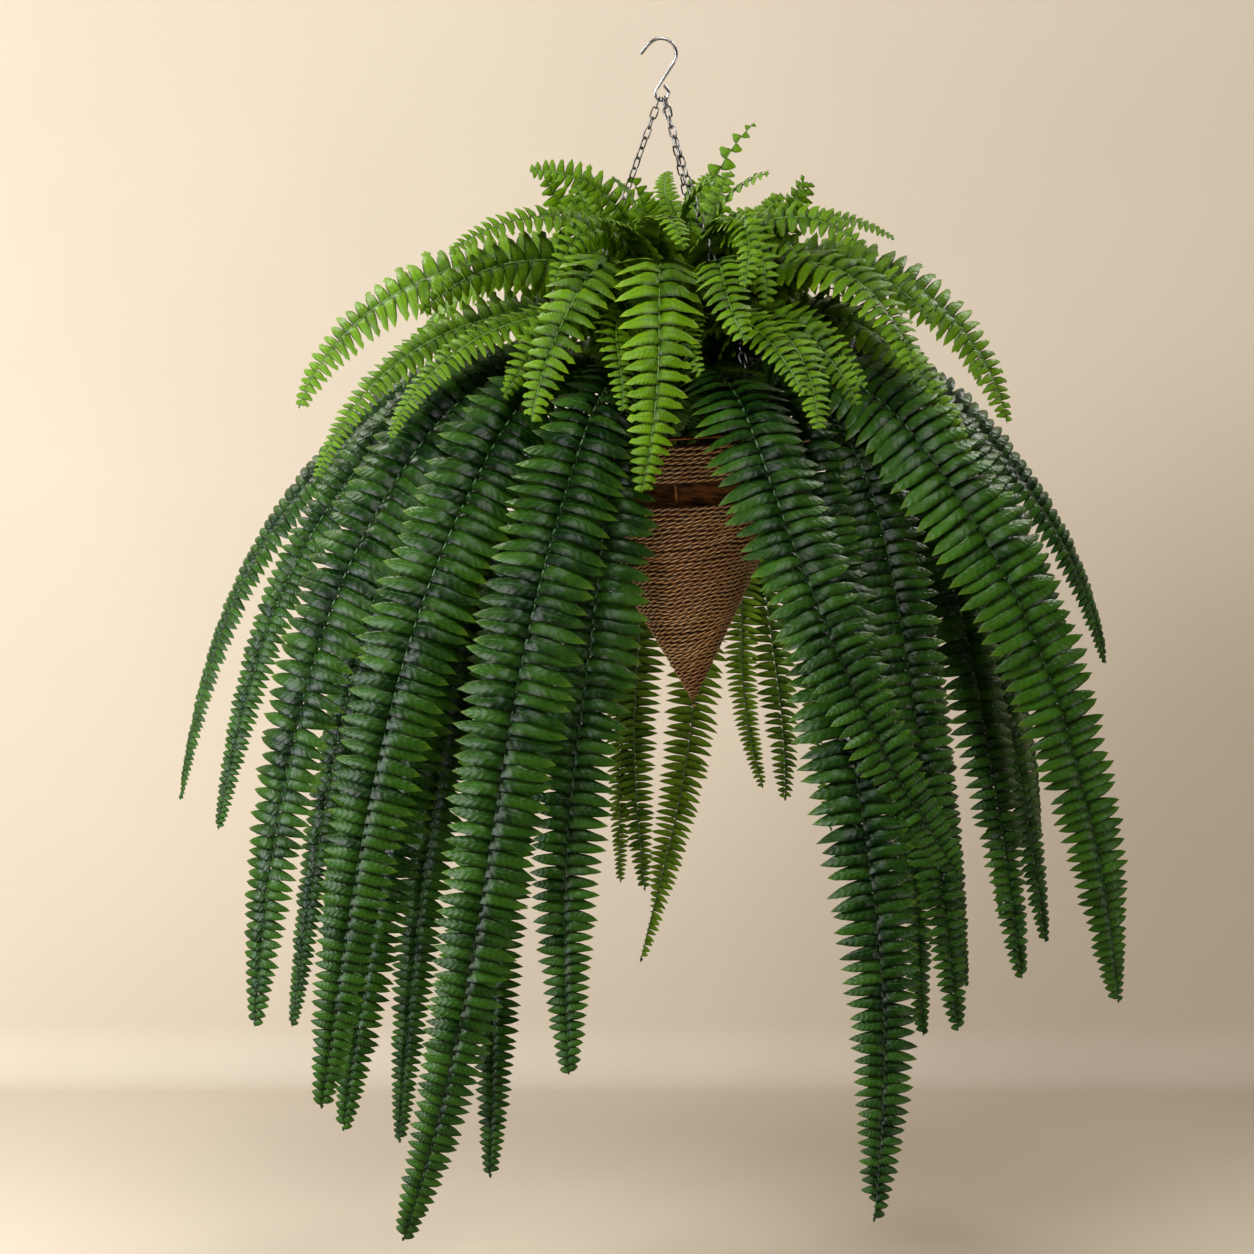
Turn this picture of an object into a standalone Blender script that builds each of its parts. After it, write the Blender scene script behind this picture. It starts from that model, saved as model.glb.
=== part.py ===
"""A Boston fern growing in a rope-wound cone basket, hung from a wire hook by three chains.

Units are metres and +Z is up. The origin is the point of the hook that bears on whatever the basket
hangs from, and the front of the plant faces -Y. The chains and the basket lean together from the
hook's eye, because the plant has grown heavier on one side. The fronds still hang straight down.
"""

import math
from collections import namedtuple
from functools import lru_cache

import bmesh
import bpy
import numpy as np
from mathutils import Matrix, Vector

MM = 0.001
CLEARANCE = 0.3 * MM  # left between pieces that bear on each other

# Hook: round wire with an open crook above and a closed eye below, both measured to the wire's middle
HOOK_WIRE = 3.2 * MM
CROOK_RADIUS = 15.1 * MM
CROOK_OPENS_AT = math.radians(140)
CROOK_LEG = 13 * MM
EYE_RADIUS = 6.6 * MM
EYE_CENTRE = Vector((1.2 * MM, 0, -51.5 * MM))
EYE_ENDS_AT = math.radians(400)
EYE_LEG = 5 * MM

LEAN = math.radians(-3.1)  # of chains and basket about the hook's eye, the basket's tip towards +X

# Basket: a cone of half-angle about 27 degrees, standing on its point, built up in layers
RIM_DROP = 327 * MM  # from the eye's middle down to the rim's plane
RIM_RADIUS = 145 * MM
BASKET_DEPTH = 280 * MM
WALL_TURN = math.atan2(RIM_RADIUS, BASKET_DEPTH)
ROPE_THICKNESS = 4.5 * MM
ROPE_GROOVE = 1.4 * MM  # between the rope's turns
RIB_WIRE = 2.4 * MM
RIM_WIRE = 3.6 * MM
LINER_THICKNESS = 4.5 * MM
UPPER_BAND = (-7 * MM, -43 * MM)
LOWER_BAND = (-68 * MM, -279 * MM)
LINER_TOP, LINER_FOOT = -7 * MM, -240 * MM
RIB_FOOT = -262 * MM
FRAME_INWARDS = ROPE_THICKNESS + CLEARANCE + RIB_WIRE / 2  # from the outer face to the wires' middle
LINER_INWARDS = FRAME_INWARDS + RIB_WIRE / 2 + CLEARANCE
RIB_COUNT = 6
LOWER_RIDGES, UPPER_RIDGES = 12, 3
SOIL_TOP, SOIL_FOOT = -14 * MM, -234 * MM
SOIL_CROWN = 4 * MM  # how much higher the soil stands in the middle
TURNING_STEPS = 18

# Chains: oval links, alternately a quarter turn round, from the eye to the rim
LINK_WIRE = 2.2 * MM
LINK_HALF_WIDTH = 3.3 * MM  # to the wire's middle
LINK_CREST, LINK_BEND = 0.45, 0.75  # flat of a link's ends and length of its bends, of the half width
LINKS = 12
FUSED = 0.5 * MM  # how deep the wires of two links sink into each other
CHAIN_AZIMUTHS = {"left": 186, "back": 66, "front": 306}
EYE_SEATS = {"left": -32, "back": 38, "front": 3}  # degrees round the eye from its lowest point
CHAIN_REACH = 24 * MM  # how far along a frond a chain can still touch its leaflets
CORNER = 360 / TURNING_STEPS
FIRST_CORNER = math.radians(CHAIN_AZIMUTHS["left"] % CORNER)  # a corner of the turned walls at each chain
FIRST_RIB = CHAIN_AZIMUTHS["left"] + CORNER

# Fronds
BLADE_THICKNESS = 0.8 * MM
RIB_THICKNESS = 2.2 * MM
RIB_HALF_WIDTH = 1.5 * MM
ROOT_FOOT = -34 * MM  # height of the stalks' lower ends, from the rim's plane
STALK_TOP = -8 * MM  # height at which the stalks leave the soil
HOLE_CLEARANCE = 0.4 * MM
HOLE_OVERRUN = 15 * MM  # how far the holes' cutters stand out of the soil
CHAIN_ROOM = 5.5 * MM  # kept free beside the middle of each chain
DROOP = 0.22  # how far a leaflet's tip hangs below its foot, as a share of its length
LEANING = 0.8  # how far towards the next pair a leaflet's tip lies
TIGHTENING = 0.94  # brings the pairs closer together towards the tip

# The line that a frond's rib follows from its root outwards, as (radius, height) from the rim's centre.
# The lines nest inside each other, so that a frond on one never meets a frond on the next. Only "under"
# comes out from below the outer ones, to hang level with them beside the basket's bare front.
LINES_MM = {
    "outer": [(48, -34), (48, -8), (54, 21), (78, 48), (120, 64), (170, 60), (225, 27), (275, -42),
              (318, -130), (350, -240), (378, -400), (395, -560), (405, -720), (412, -900)],
    "under": [(66, -34), (66, -8), (72, 8), (92, 20), (118, 23), (146, 15), (172, -8), (199, -50),
              (233, -98), (270, -142), (300, -190), (330, -270), (358, -380), (378, -500), (392, -640),
              (402, -800)],
    "middle": [(72, -34), (72, -8), (78, 12), (98, 32), (130, 41), (168, 32), (208, -4), (240, -70),
               (266, -160), (292, -280), (316, -420), (334, -570), (346, -720), (354, -880)],
    "inner": [(98, -34), (98, -8), (103, 5), (118, 18), (142, 21), (168, 8), (190, -30), (206, -90),
              (222, -180), (240, -300), (258, -430), (272, -580), (284, -720), (292, -860)],
    "brow": [(38, -34), (38, -8), (43, 40), (66, 86), (108, 112), (158, 112), (212, 88), (260, 38),
             (292, -30), (312, -110), (322, -190), (328, -260)],
    "crest": [(28, -34), (28, -8), (34, 60), (56, 118), (98, 156), (150, 166), (205, 150), (255, 110),
              (290, 55), (308, -5), (318, -80), (324, -170)],
    "crown": [(2, -14), (2, -6), (5, 90), (24, 152), (60, 190), (100, 206), (140, 207), (178, 194),
              (212, 170), (240, 138)],
    "plume": [(2, -14), (2, -6), (5, 90), (20, 160), (50, 212), (88, 242), (128, 252), (166, 244)],
    "spire": [(2, -14), (2, -6), (4, 90), (12, 170), (30, 236), (56, 282), (90, 312)],
}
LAYERS = {"under": "outer"}  # lines whose ends hang level with another line's
SHOULDER = 120 * MM  # radius beyond which a frond's reach stretches or draws in its line

# Azimuths are degrees from +X, and the front is 270. Lengths and half widths are millimetres. sway turns
# the tip sideways by so many degrees, reach scales the line's radius past its shoulder, and bare is the
# share of the length that carries no leaflets.
Frond = namedtuple("Frond", "name line azimuth length half_width pairs sway reach bare", defaults=(0, 1, 0.1))

FRONDS = [
    Frond("mature_01", "outer", 172, 800, 34, 13, 0, 1.55),
    Frond("mature_02", "outer", 191, 760, 36, 12, 0, 1.33),
    Frond("mature_03", "outer", 207, 910, 56, 15, -3, 1.2),
    Frond("mature_04", "outer", 228, 960, 56, 15, -16, 1.05),
    Frond("mature_05", "outer", 249, 1060, 56, 18, -19),
    Frond("mature_06", "under", 299, 905, 55, 16, -2),
    Frond("mature_07", "outer", 281, 740, 54, 13, 34),
    Frond("mature_08", "outer", 322, 925, 56, 15, 26, 1.2),
    Frond("mature_09", "outer", 347, 610, 46, 11, 2, 1.15),
    Frond("mature_10", "outer", 6, 620, 40, 11, 0, 1.38),
    Frond("mature_11", "outer", 28, 800, 50, 12, 0, 1.2),
    Frond("mature_12", "outer", 50, 820, 46, 12, 0, 1.05),
    Frond("mature_13", "outer", 82, 950, 42, 14, 12, 0.95),
    Frond("mature_14", "outer", 105, 840, 32, 13, -7, 0.9),
    Frond("mature_15", "outer", 128, 880, 50, 13, 0, 1.1),
    Frond("mature_16", "outer", 150, 860, 48, 13, 0, 1.25),
    Frond("mature_17", "middle", 197, 830, 38, 13, 0, 1.3),
    Frond("mature_18", "middle", 215, 900, 50, 14, -4, 1.15),
    Frond("mature_19", "middle", 238, 900, 50, 14, -11),
    Frond("mature_20", "middle", 252, 790, 52, 13, -2),
    Frond("mature_21", "middle", 318, 780, 48, 12, -2, 1.1),
    Frond("mature_22", "middle", 338, 760, 48, 12, 0, 1.15),
    Frond("mature_23", "middle", 357, 760, 44, 12, 0, 1.2),
    Frond("mature_24", "middle", 18, 760, 44, 11, 0, 1.15),
    Frond("mature_25", "middle", 39, 780, 44, 11, 0, 1.05),
    Frond("mature_26", "middle", 59, 680, 32, 11),
    Frond("mature_27", "middle", 76, 630, 30, 11, -4, 0.95),
    Frond("mature_28", "middle", 138, 820, 46, 12, 0, 1.1),
    Frond("mature_29", "middle", 163, 820, 44, 12, 0, 1.25),
    Frond("mature_30", "inner", 207, 840, 40, 12, 0, 1.15),
    Frond("mature_31", "inner", 229, 840, 42, 12, 0, 1.05),
    Frond("mature_32", "inner", 327, 720, 40, 11, 0, 1.1),
    Frond("mature_33", "inner", 346, 700, 38, 10, 0, 1.15),
    Frond("young_01", "crest", 262, 500, 42, 10, 0, 0.6),
    Frond("young_02", "crest", 238, 450, 40, 9, 0, 0.7),
    Frond("young_03", "crest", 177, 560, 44, 11, 0, 1.42),
    Frond("young_04", "crest", 150, 500, 40, 10, 0, 1.2),
    Frond("young_05", "crest", 124, 450, 38, 9),
    Frond("young_06", "crest", 96, 440, 38, 9, 0, 0.9),
    Frond("young_07", "crest", 43, 450, 38, 9),
    Frond("young_08", "crest", 18, 500, 40, 10, 0, 1.15),
    Frond("young_09", "crest", 350, 520, 42, 11, 0, 1.1),
    Frond("young_10", "crest", 322, 440, 40, 10),
    Frond("young_11", "crest", 285, 370, 38, 8, 0, 0.7),
    Frond("young_12", "brow", 194, 500, 28, 11, 0, 1.4),
    Frond("young_13", "brow", 211, 430, 26, 10, 0, 1.25),
    Frond("young_14", "brow", 298, 380, 32, 10),
    Frond("young_15", "brow", 335, 430, 30, 10, 0, 1.1),
]

# The small fronds in the middle rise in threes from a short crown each
CROWN_CIRCLE = 14 * MM
CROWN_RADIUS = 4 * MM
CROWN_FOOT, CROWN_TOP = -34 * MM, -7 * MM
Crown = namedtuple("Crown", "name azimuth fronds")

CROWNS = [
    Crown("left", 200, [
        Frond("upright", "plume", 160, 340, 32, 8, 0, 1, 0.4),
        Frond("level", "crown", 203, 400, 30, 9, 0, 1.2, 0.4),
        Frond("front", "crown", 240, 300, 26, 7, 0, 0.7, 0.4),
    ]),
    Crown("right", 325, [
        Frond("arching", "crown", 4, 370, 24, 9, 0, 1.1, 0.4),
        Frond("upright", "spire", 40, 330, 18, 8, 0, 1, 0.4),
        Frond("front", "crown", 284, 310, 26, 7, 0, 0.7, 0.4),
    ]),
    Crown("back", 85, [
        Frond("left", "crown", 134, 340, 28, 8, 0, 1, 0.4),
        Frond("middle", "plume", 95, 310, 24, 8, 0, 0.8, 0.4),
        Frond("right", "crown", 40, 340, 28, 8, 0, 1, 0.4),
    ]),
]  # fmt: skip


def smooth_line(points, spacing=4 * MM):
    """A Catmull-Rom curve through the points, as closely and evenly spaced points along it."""
    ends = [2 * points[0] - points[1], 2 * points[-1] - points[-2]]
    held = np.vstack([ends[0], points, ends[1]])
    t = np.linspace(0, 1, 24, endpoint=False)[:, None]
    pieces = []
    for a, b, c, d in zip(held, held[1:], held[2:], held[3:]):
        pieces.append(
            0.5 * (2 * b + (c - a) * t + (2 * a - 5 * b + 4 * c - d) * t**2 + (3 * b - a - 3 * c + d) * t**3)
        )
    dense = np.vstack(pieces + [points[-1:]])
    run = np.concatenate([[0], np.cumsum(np.linalg.norm(np.diff(dense, axis=0), axis=1))])
    even = np.linspace(0, run[-1], int(run[-1] / spacing) + 1)
    return np.stack([np.interp(even, run, dense[:, k]) for k in range(dense.shape[1])], axis=1)


def outward(azimuth):
    """The level direction at an azimuth in degrees."""
    return Vector((math.cos(math.radians(azimuth)), math.sin(math.radians(azimuth)), 0))


def rib_route(frond):
    """Points of a frond's rib from root to tip: its line, turned to the frond's azimuth."""
    flat = smooth_line(np.array(LINES_MM[frond.line], float) * MM)
    radius, height = flat[:, 0], flat[:, 1]
    radius = radius + (frond.reach - 1) * np.clip(radius - SHOULDER, 0, None)
    along = np.concatenate([[0], np.cumsum(np.hypot(np.diff(radius), np.diff(height)))])
    share = np.clip(along / (frond.length * MM), 0, 1)
    turn = np.radians(frond.azimuth + frond.sway * share**2)
    points = np.stack([radius * np.cos(turn), radius * np.sin(turn), height], axis=1)
    run = np.concatenate([[0], np.cumsum(np.linalg.norm(np.diff(points, axis=0), axis=1))])
    keep = np.linspace(0, min(frond.length * MM, run[-1]), 400)
    return np.stack([np.interp(keep, run, points[:, k]) for k in range(3)], axis=1)


def layer(frond):
    """The layer that a frond hangs in, which it shares with the fronds beside it."""
    return LAYERS.get(frond.line, frond.line)


def half_width_at(frond, share):
    """The leaflets' length at a share of the way from root to tip: full by a third, fine at the tip."""
    opening = np.clip((share - frond.bare) / 0.2, 0, 1)
    closing = np.clip((1 - share) / 0.5, 0, 1)
    return frond.half_width * MM * (0.25 + 0.75 * opening**0.8) * (0.10 + 0.90 * closing**0.6)


def room_beside(frond, others, start, point, side):
    """How far a leaflet may reach to one side: half of the way to the next frond, and clear of chains.

    side is +1 for rising azimuths and -1 for falling ones. start is where the frond's line has its axis.
    """
    ahead = np.array(outward(frond.azimuth))
    across = np.array(outward(frond.azimuth + 90 * side))
    radius = (point - start) @ ahead
    gaps = [((other.azimuth - frond.azimuth) * side) % 360 for other in others if other != frond]
    nearest = min(gaps, default=360)
    room = radius * math.tan(math.radians(min(nearest / 2, 85))) - CLEARANCE
    for top, foot in chain_lines():
        at = (foot.z - point[2]) / (foot.z - top.z)
        if not 0 <= at <= 1:
            continue
        chain_at = np.array(foot.lerp(top, at)) - point
        if abs(chain_at @ ahead) < CHAIN_REACH and chain_at @ across > 0:
            room = min(room, chain_at @ across - CHAIN_ROOM)
    return max(room, RIB_HALF_WIDTH + CLEARANCE)


def frond_surface(frond, others, start):
    """One arched blade cut to its rib into pairs of leaflets, as an open surface.

    Each leaflet is one triangle from the rib to its tip, which leans forward and droops. Returns the
    points, the faces and each point's share of the rib's thickness.
    """
    route = rib_route(frond) + start
    foot = LINES_MM[frond.line][0][1] * MM
    stalk = [0, (STALK_TOP - foot) / (frond.length * MM), frond.bare * 0.62, frond.bare]
    leafy = frond.bare + (1 - frond.bare) * np.linspace(0, 1, frond.pairs + 1)[1:] ** TIGHTENING
    shares = np.array(stalk + list(leafy))
    knots = np.linspace(0, 1, len(route))
    thin = BLADE_THICKNESS / RIB_THICKNESS

    def at(share):
        return np.array([np.interp(share, knots, route[:, k]) for k in range(3)])

    def sides(share):
        ahead = at(min(share + 0.01, 1)) - at(max(share - 0.01, 0))
        ahead /= np.linalg.norm(ahead)
        left = np.array(outward(frond.azimuth + 90))
        left = left - ahead * (left @ ahead)
        left /= np.linalg.norm(left)
        return left, np.cross(ahead, left)

    points, faces, thickness = [], [], []

    def add(point, weight):
        points.append(point)
        thickness.append(weight)
        return len(points) - 1

    def leaflet_tip(here, there, side):
        middle, forward = (here + there) / 2, here + (there - here) * LEANING
        left, up = sides(middle)
        room = room_beside(frond, others, start, at(forward), side)
        reach = min(half_width_at(frond, middle), room)
        return add(at(forward) + left * side * reach - up * reach * DROOP, thin)

    rows = []
    for share in shares[:-1]:
        left, _ = sides(share)
        half = RIB_HALF_WIDTH * (1 - 0.55 * share)
        weight = max(thin, 1 - 0.6 * share)
        rows.append((add(at(share) + left * half, weight), add(at(share) - left * half, weight)))
    rows.append((add(at(1.0), thin),) * 2)
    for i, ((la, ra), (lb, rb)) in enumerate(zip(rows, rows[1:])):
        if lb == rb:
            faces.append((la, ra, lb))
            continue
        faces += [(la, ra, rb), (la, rb, lb)]
        if i >= len(stalk) - 1:
            faces.append((la, lb, leaflet_tip(shares[i], shares[i + 1], 1)))
            faces.append((ra, leaflet_tip(shares[i], shares[i + 1], -1), rb))
    return np.array(points), faces, thickness


def principled(name, colour, roughness, metallic=0.0):
    """A plain material of one colour."""
    material = bpy.data.materials.new(name)
    material.use_nodes = True
    shader = material.node_tree.nodes["Principled BSDF"]
    shader.inputs["Base Color"].default_value = (*colour, 1)
    shader.inputs["Roughness"].default_value = roughness
    shader.inputs["Metallic"].default_value = metallic
    return material


def mesh_object(name, points, faces, edges=()):
    """An object with a mesh of these points and faces, in the fern's own collection."""
    mesh = bpy.data.meshes.new(name)
    mesh.from_pydata([tuple(p) for p in points], list(edges), faces)
    mesh.update()
    made = bpy.data.objects.new(name, mesh)
    fern.objects.link(made)
    return made


def finish_object(obj, parent, material):
    """Names and shades the mesh, gives it its one material and hangs it from its parent."""
    obj.data.name = obj.name
    obj.data.shade_smooth()
    obj.data.set_sharp_from_angle(angle=math.radians(50))
    obj.data.materials.clear()
    obj.data.materials.append(material)
    obj.parent = parent
    return obj


def into_collection(obj, collection):
    """Moves an object from where an operator put it to one collection."""
    for held in list(obj.users_collection):
        held.objects.unlink(obj)
    collection.objects.link(obj)
    return obj


def apply_modifiers(obj):
    """Replaces the object's mesh by what its modifiers make of it."""
    graph = bpy.context.evaluated_depsgraph_get()
    done = bpy.data.meshes.new_from_object(obj.evaluated_get(graph))
    obj.modifiers.clear()
    obj.data = done


def fuse(name, pieces):
    """Joins overlapping solids into one body by a Boolean union on a collection."""
    first, rest = pieces[0], pieces[1:]
    others = bpy.data.collections.new(name + "_others")
    bpy.context.scene.collection.children.link(others)
    for piece in rest:
        into_collection(piece, others)
    union = first.modifiers.new("union", "BOOLEAN")
    union.operation = "UNION"
    union.operand_type = "COLLECTION"
    union.collection = others
    union.solver = "EXACT"
    bpy.context.view_layer.update()
    apply_modifiers(first)
    for piece in rest:
        bpy.data.objects.remove(piece)
    bpy.data.collections.remove(others)
    first.name = name
    return first


def tube_mesh(name, points, radius, cyclic=False, resolution=2):
    """A wire along straight stretches between points, as a mesh with its caps welded on."""
    data = bpy.data.curves.new(name, "CURVE")
    data.dimensions = "3D"
    data.bevel_depth = radius
    data.bevel_resolution = resolution
    data.use_fill_caps = not cyclic
    spline = data.splines.new("POLY")
    spline.points.add(len(points) - 1)
    for held, point in zip(spline.points, points):
        held.co = (*point, 1)
    spline.use_cyclic_u = cyclic
    curve = bpy.data.objects.new(name, data)
    fern.objects.link(curve)
    bpy.context.view_layer.update()
    graph = bpy.context.evaluated_depsgraph_get()
    mesh = bpy.data.meshes.new_from_object(curve.evaluated_get(graph))
    bpy.data.objects.remove(curve)
    bpy.data.curves.remove(data)
    welded = bmesh.new()
    welded.from_mesh(mesh)
    bmesh.ops.remove_doubles(welded, verts=welded.verts, dist=0.01 * MM)
    bmesh.ops.recalc_face_normals(welded, faces=welded.faces)
    welded.to_mesh(mesh)
    welded.free()
    made = bpy.data.objects.new(name, mesh)
    fern.objects.link(made)
    return made


def turned(name, profile, closed):
    """A profile of (radius, height) turned round the Z axis. It runs down its outer side."""
    points = [(radius, 0, height) for radius, height in profile]
    edges = [(i, i + 1) for i in range(len(points) - 1)]
    if closed:
        edges.append((len(points) - 1, 0))
    made = mesh_object(name, points, [], edges)
    screw = made.modifiers.new("turn", "SCREW")
    screw.axis = "Z"
    screw.angle = math.tau
    screw.steps = screw.render_steps = TURNING_STEPS
    screw.use_merge_vertices = True
    screw.merge_threshold = 0.01 * MM
    made.rotation_euler.z = FIRST_CORNER
    return made


def wall_radius(height, inwards):
    """The basket's radius at a height from the rim, that far inside its outer face."""
    return (height + BASKET_DEPTH) * math.tan(WALL_TURN) - inwards / math.cos(WALL_TURN)


def hook():
    """The crook, a straight shank tangent to both rings, and the eye, as one length of wire."""
    crook = Vector((0, 0, HOOK_WIRE / 2 - CROOK_RADIUS))
    apart = EYE_CENTRE - crook
    heading = math.atan2(apart.z, apart.x)
    leaves = heading + math.acos((CROOK_RADIUS + EYE_RADIUS) / apart.length)

    def ring(centre, radius, angle):
        return centre + Vector((math.cos(angle), 0, math.sin(angle))) * radius

    opening = Vector((-math.sin(CROOK_OPENS_AT), 0, math.cos(CROOK_OPENS_AT)))
    points = [ring(crook, CROOK_RADIUS, CROOK_OPENS_AT) + opening * CROOK_LEG]
    points += [ring(crook, CROOK_RADIUS, a) for a in np.linspace(CROOK_OPENS_AT, leaves, 13)]
    points += [ring(EYE_CENTRE, EYE_RADIUS, a) for a in np.linspace(leaves + math.pi, EYE_ENDS_AT, 11)]
    closing = Vector((-math.sin(EYE_ENDS_AT), 0, math.cos(EYE_ENDS_AT)))
    points.append(points[-1] + closing * EYE_LEG)
    return tube_mesh("hook", points, HOOK_WIRE / 2, resolution=1)


def chain_ends(side):
    """Where a chain bears on the eye and under the rim ring, seen from the eye's middle."""
    seat = math.radians(EYE_SEATS[side])
    top = Vector((math.sin(seat), 0, -math.cos(seat))) * (EYE_RADIUS - HOOK_WIRE / 2)
    ring = outward(CHAIN_AZIMUTHS[side]) * wall_radius(0, FRAME_INWARDS) - Vector((0, 0, RIM_DROP))
    return top, ring + (ring - top).normalized() * (RIM_WIRE / 2)


@lru_cache
def chain_lines():
    """The chains' ends as seen from the rim's centre in the upright frame of the plant."""
    lean = Matrix.Rotation(LEAN, 3, "Y")
    middle = lean @ Vector((0, 0, -RIM_DROP))
    return [tuple(lean @ end - middle for end in chain_ends(side)) for side in CHAIN_AZIMUTHS]


def chain(side):
    """Links from the eye to the rim along one straight line, each fused to the next where they bear."""
    seat = math.radians(EYE_SEATS[side])
    top, foot = chain_ends(side)
    down = (foot - top).normalized()
    pitch = (foot - top).length / LINKS
    eye_wire = Vector((math.cos(seat), 0, math.sin(seat)))
    first = (eye_wire - down * eye_wire.dot(down)).normalized()
    last = outward(CHAIN_AZIMUTHS[side] + 90)
    turned_by = math.atan2(first.cross(last).dot(down), first.dot(last))
    spare = turned_by % math.pi - math.pi / 2  # left over by an even number of quarter-turned links
    step = math.pi / 2 + spare / (LINKS - 1)
    links = []
    for i in range(LINKS):
        normal = Matrix.Rotation(step * i, 3, down) @ first
        across = normal.cross(down) * LINK_HALF_WIDTH
        above = LINK_WIRE / 2 - FUSED / 2 if i else LINK_WIRE / 2 + CLEARANCE
        below = LINK_WIRE / 2 - FUSED / 2 if i < LINKS - 1 else LINK_WIRE / 2 + CLEARANCE
        start = top + down * (pitch * i - above)
        end = top + down * (pitch * (i + 1) + below)
        bend = down * LINK_HALF_WIDTH * LINK_BEND
        crest = across * LINK_CREST
        half = [start + crest, start + bend + across, end - bend + across, end + crest]
        points = half + [start + end - point for point in half]
        links.append(tube_mesh(f"link_{i}", points, LINK_WIRE / 2, cyclic=True, resolution=0))
    return fuse(f"chain_{side}", links)


def frame():
    """The rim ring with straight ribs that meet below, under the rope."""
    bpy.ops.mesh.primitive_torus_add(
        major_radius=wall_radius(0, FRAME_INWARDS), minor_radius=RIM_WIRE / 2,
        major_segments=TURNING_STEPS, minor_segments=6, rotation=(0, 0, FIRST_CORNER),
    )  # fmt: skip
    ring = into_collection(bpy.context.object, fern)
    ring.data.transform(ring.matrix_basis)
    ring.matrix_basis = Matrix()
    pieces = [ring]
    for i in range(RIB_COUNT):
        away = outward(FIRST_RIB + 360 * i / RIB_COUNT)
        top = away * wall_radius(0, FRAME_INWARDS)
        foot = away * wall_radius(RIB_FOOT, FRAME_INWARDS) + Vector((0, 0, RIB_FOOT))
        pieces.append(tube_mesh(f"rib_{i}", [top, foot], RIB_WIRE / 2, resolution=1))
    return fuse("basket_frame", pieces)


def lower_rope():
    """The rope wound from below the gap down to the basket's point, as a hollow cone."""
    top, foot = LOWER_BAND
    heights = np.linspace(top, foot, 2 * LOWER_RIDGES + 1)
    outer = [(wall_radius(z, 0 if i % 2 else ROPE_GROOVE), z) for i, z in enumerate(heights[:-1])]
    hollow_foot = ROPE_THICKNESS / math.sin(WALL_TURN) - BASKET_DEPTH
    profile = [(0, hollow_foot), (wall_radius(top, ROPE_THICKNESS), top)] + outer + [(0, foot)]
    return turned("rope_lower", profile, False)


def upper_rope():
    """The short band of rope between the rim and the gap."""
    top, foot = UPPER_BAND
    heights = np.linspace(top, foot, 2 * UPPER_RIDGES + 1)
    outer = [(wall_radius(z, 0 if i % 2 else ROPE_GROOVE), z) for i, z in enumerate(heights)]
    inner = [(wall_radius(z, ROPE_THICKNESS), z) for z in (foot, top)]
    return turned("rope_upper", outer + inner, True)


def liner():
    """The fibre liner: a cone with a flat foot, open above."""
    outer, inner = LINER_INWARDS, LINER_INWARDS + LINER_THICKNESS
    floor = LINER_FOOT + LINER_THICKNESS
    profile = [
        (0, floor), (wall_radius(floor, inner), floor), (wall_radius(LINER_TOP, inner), LINER_TOP),
        (wall_radius(LINER_TOP, outer), LINER_TOP), (wall_radius(LINER_FOOT, outer), LINER_FOOT),
        (0, LINER_FOOT),
    ]  # fmt: skip
    return turned("liner", profile, False)


def soil():
    """The potting soil that fills the liner, a little higher in the middle."""
    inwards = LINER_INWARDS + LINER_THICKNESS + CLEARANCE
    profile = [
        (0, SOIL_TOP + SOIL_CROWN), (wall_radius(SOIL_TOP, inwards), SOIL_TOP),
        (wall_radius(SOIL_FOOT, inwards), SOIL_FOOT), (0, SOIL_FOOT),
    ]  # fmt: skip
    return turned("soil", profile, False)


def hole_cutter(name, place, depth_from, size, azimuth):
    """A box-shaped cutter that leaves a stalk standing in a plain hole in the soil."""
    deep = depth_from - HOLE_CLEARANCE
    tall = SOIL_TOP + SOIL_CROWN + HOLE_OVERRUN - deep
    bpy.ops.mesh.primitive_cube_add(size=1)
    cutter = into_collection(bpy.context.object, cutters)
    cutter.name = "hole_" + name
    cutter.scale = (size[0] + 2 * HOLE_CLEARANCE, size[1] + 2 * HOLE_CLEARANCE, tall)
    cutter.rotation_euler.z = math.radians(azimuth)
    cutter.location = (place.x, place.y, deep + tall / 2)
    cutter.parent = plant
    cutter.hide_render = True
    cutter.display_type = "WIRE"


def frond_solid(name, frond, others, start=(0, 0, 0)):
    """A frond as a solid: its open surface thickened, most at the rib and least at the leaflets."""
    points, faces, weights = frond_surface(frond, others, np.array(start))
    made = mesh_object(name, points, faces)
    group = made.vertex_groups.new(name="thickness")
    for i, weight in enumerate(weights):
        group.add([i], weight, "REPLACE")
    solid = made.modifiers.new("thickness", "SOLIDIFY")
    solid.thickness = RIB_THICKNESS
    solid.offset = 0
    solid.vertex_group = group.name
    return made


def crown_solid(crown):
    """A short crown in the soil with its fronds, joined as one body."""
    place = outward(crown.azimuth) * CROWN_CIRCLE
    bpy.ops.mesh.primitive_cone_add(
        vertices=8, radius1=CROWN_RADIUS, radius2=CROWN_RADIUS * 0.8, depth=CROWN_TOP - CROWN_FOOT,
        location=place + Vector((0, 0, (CROWN_TOP + CROWN_FOOT) / 2)),
    )  # fmt: skip
    pieces = [into_collection(bpy.context.object, fern)]
    for frond in crown.fronds:
        grown = frond_solid(frond.name, frond, crown.fronds, place)
        apply_modifiers(grown)
        pieces.append(grown)
    return fuse("fronds_crown_" + crown.name, pieces)


for old in list(bpy.data.objects):
    bpy.data.objects.remove(old)
fern = bpy.data.collections.new("boston_fern_hanging_basket")
cutters = bpy.data.collections.new("cutters")
bpy.context.scene.collection.children.link(fern)
bpy.context.scene.collection.children.link(cutters)

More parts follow.
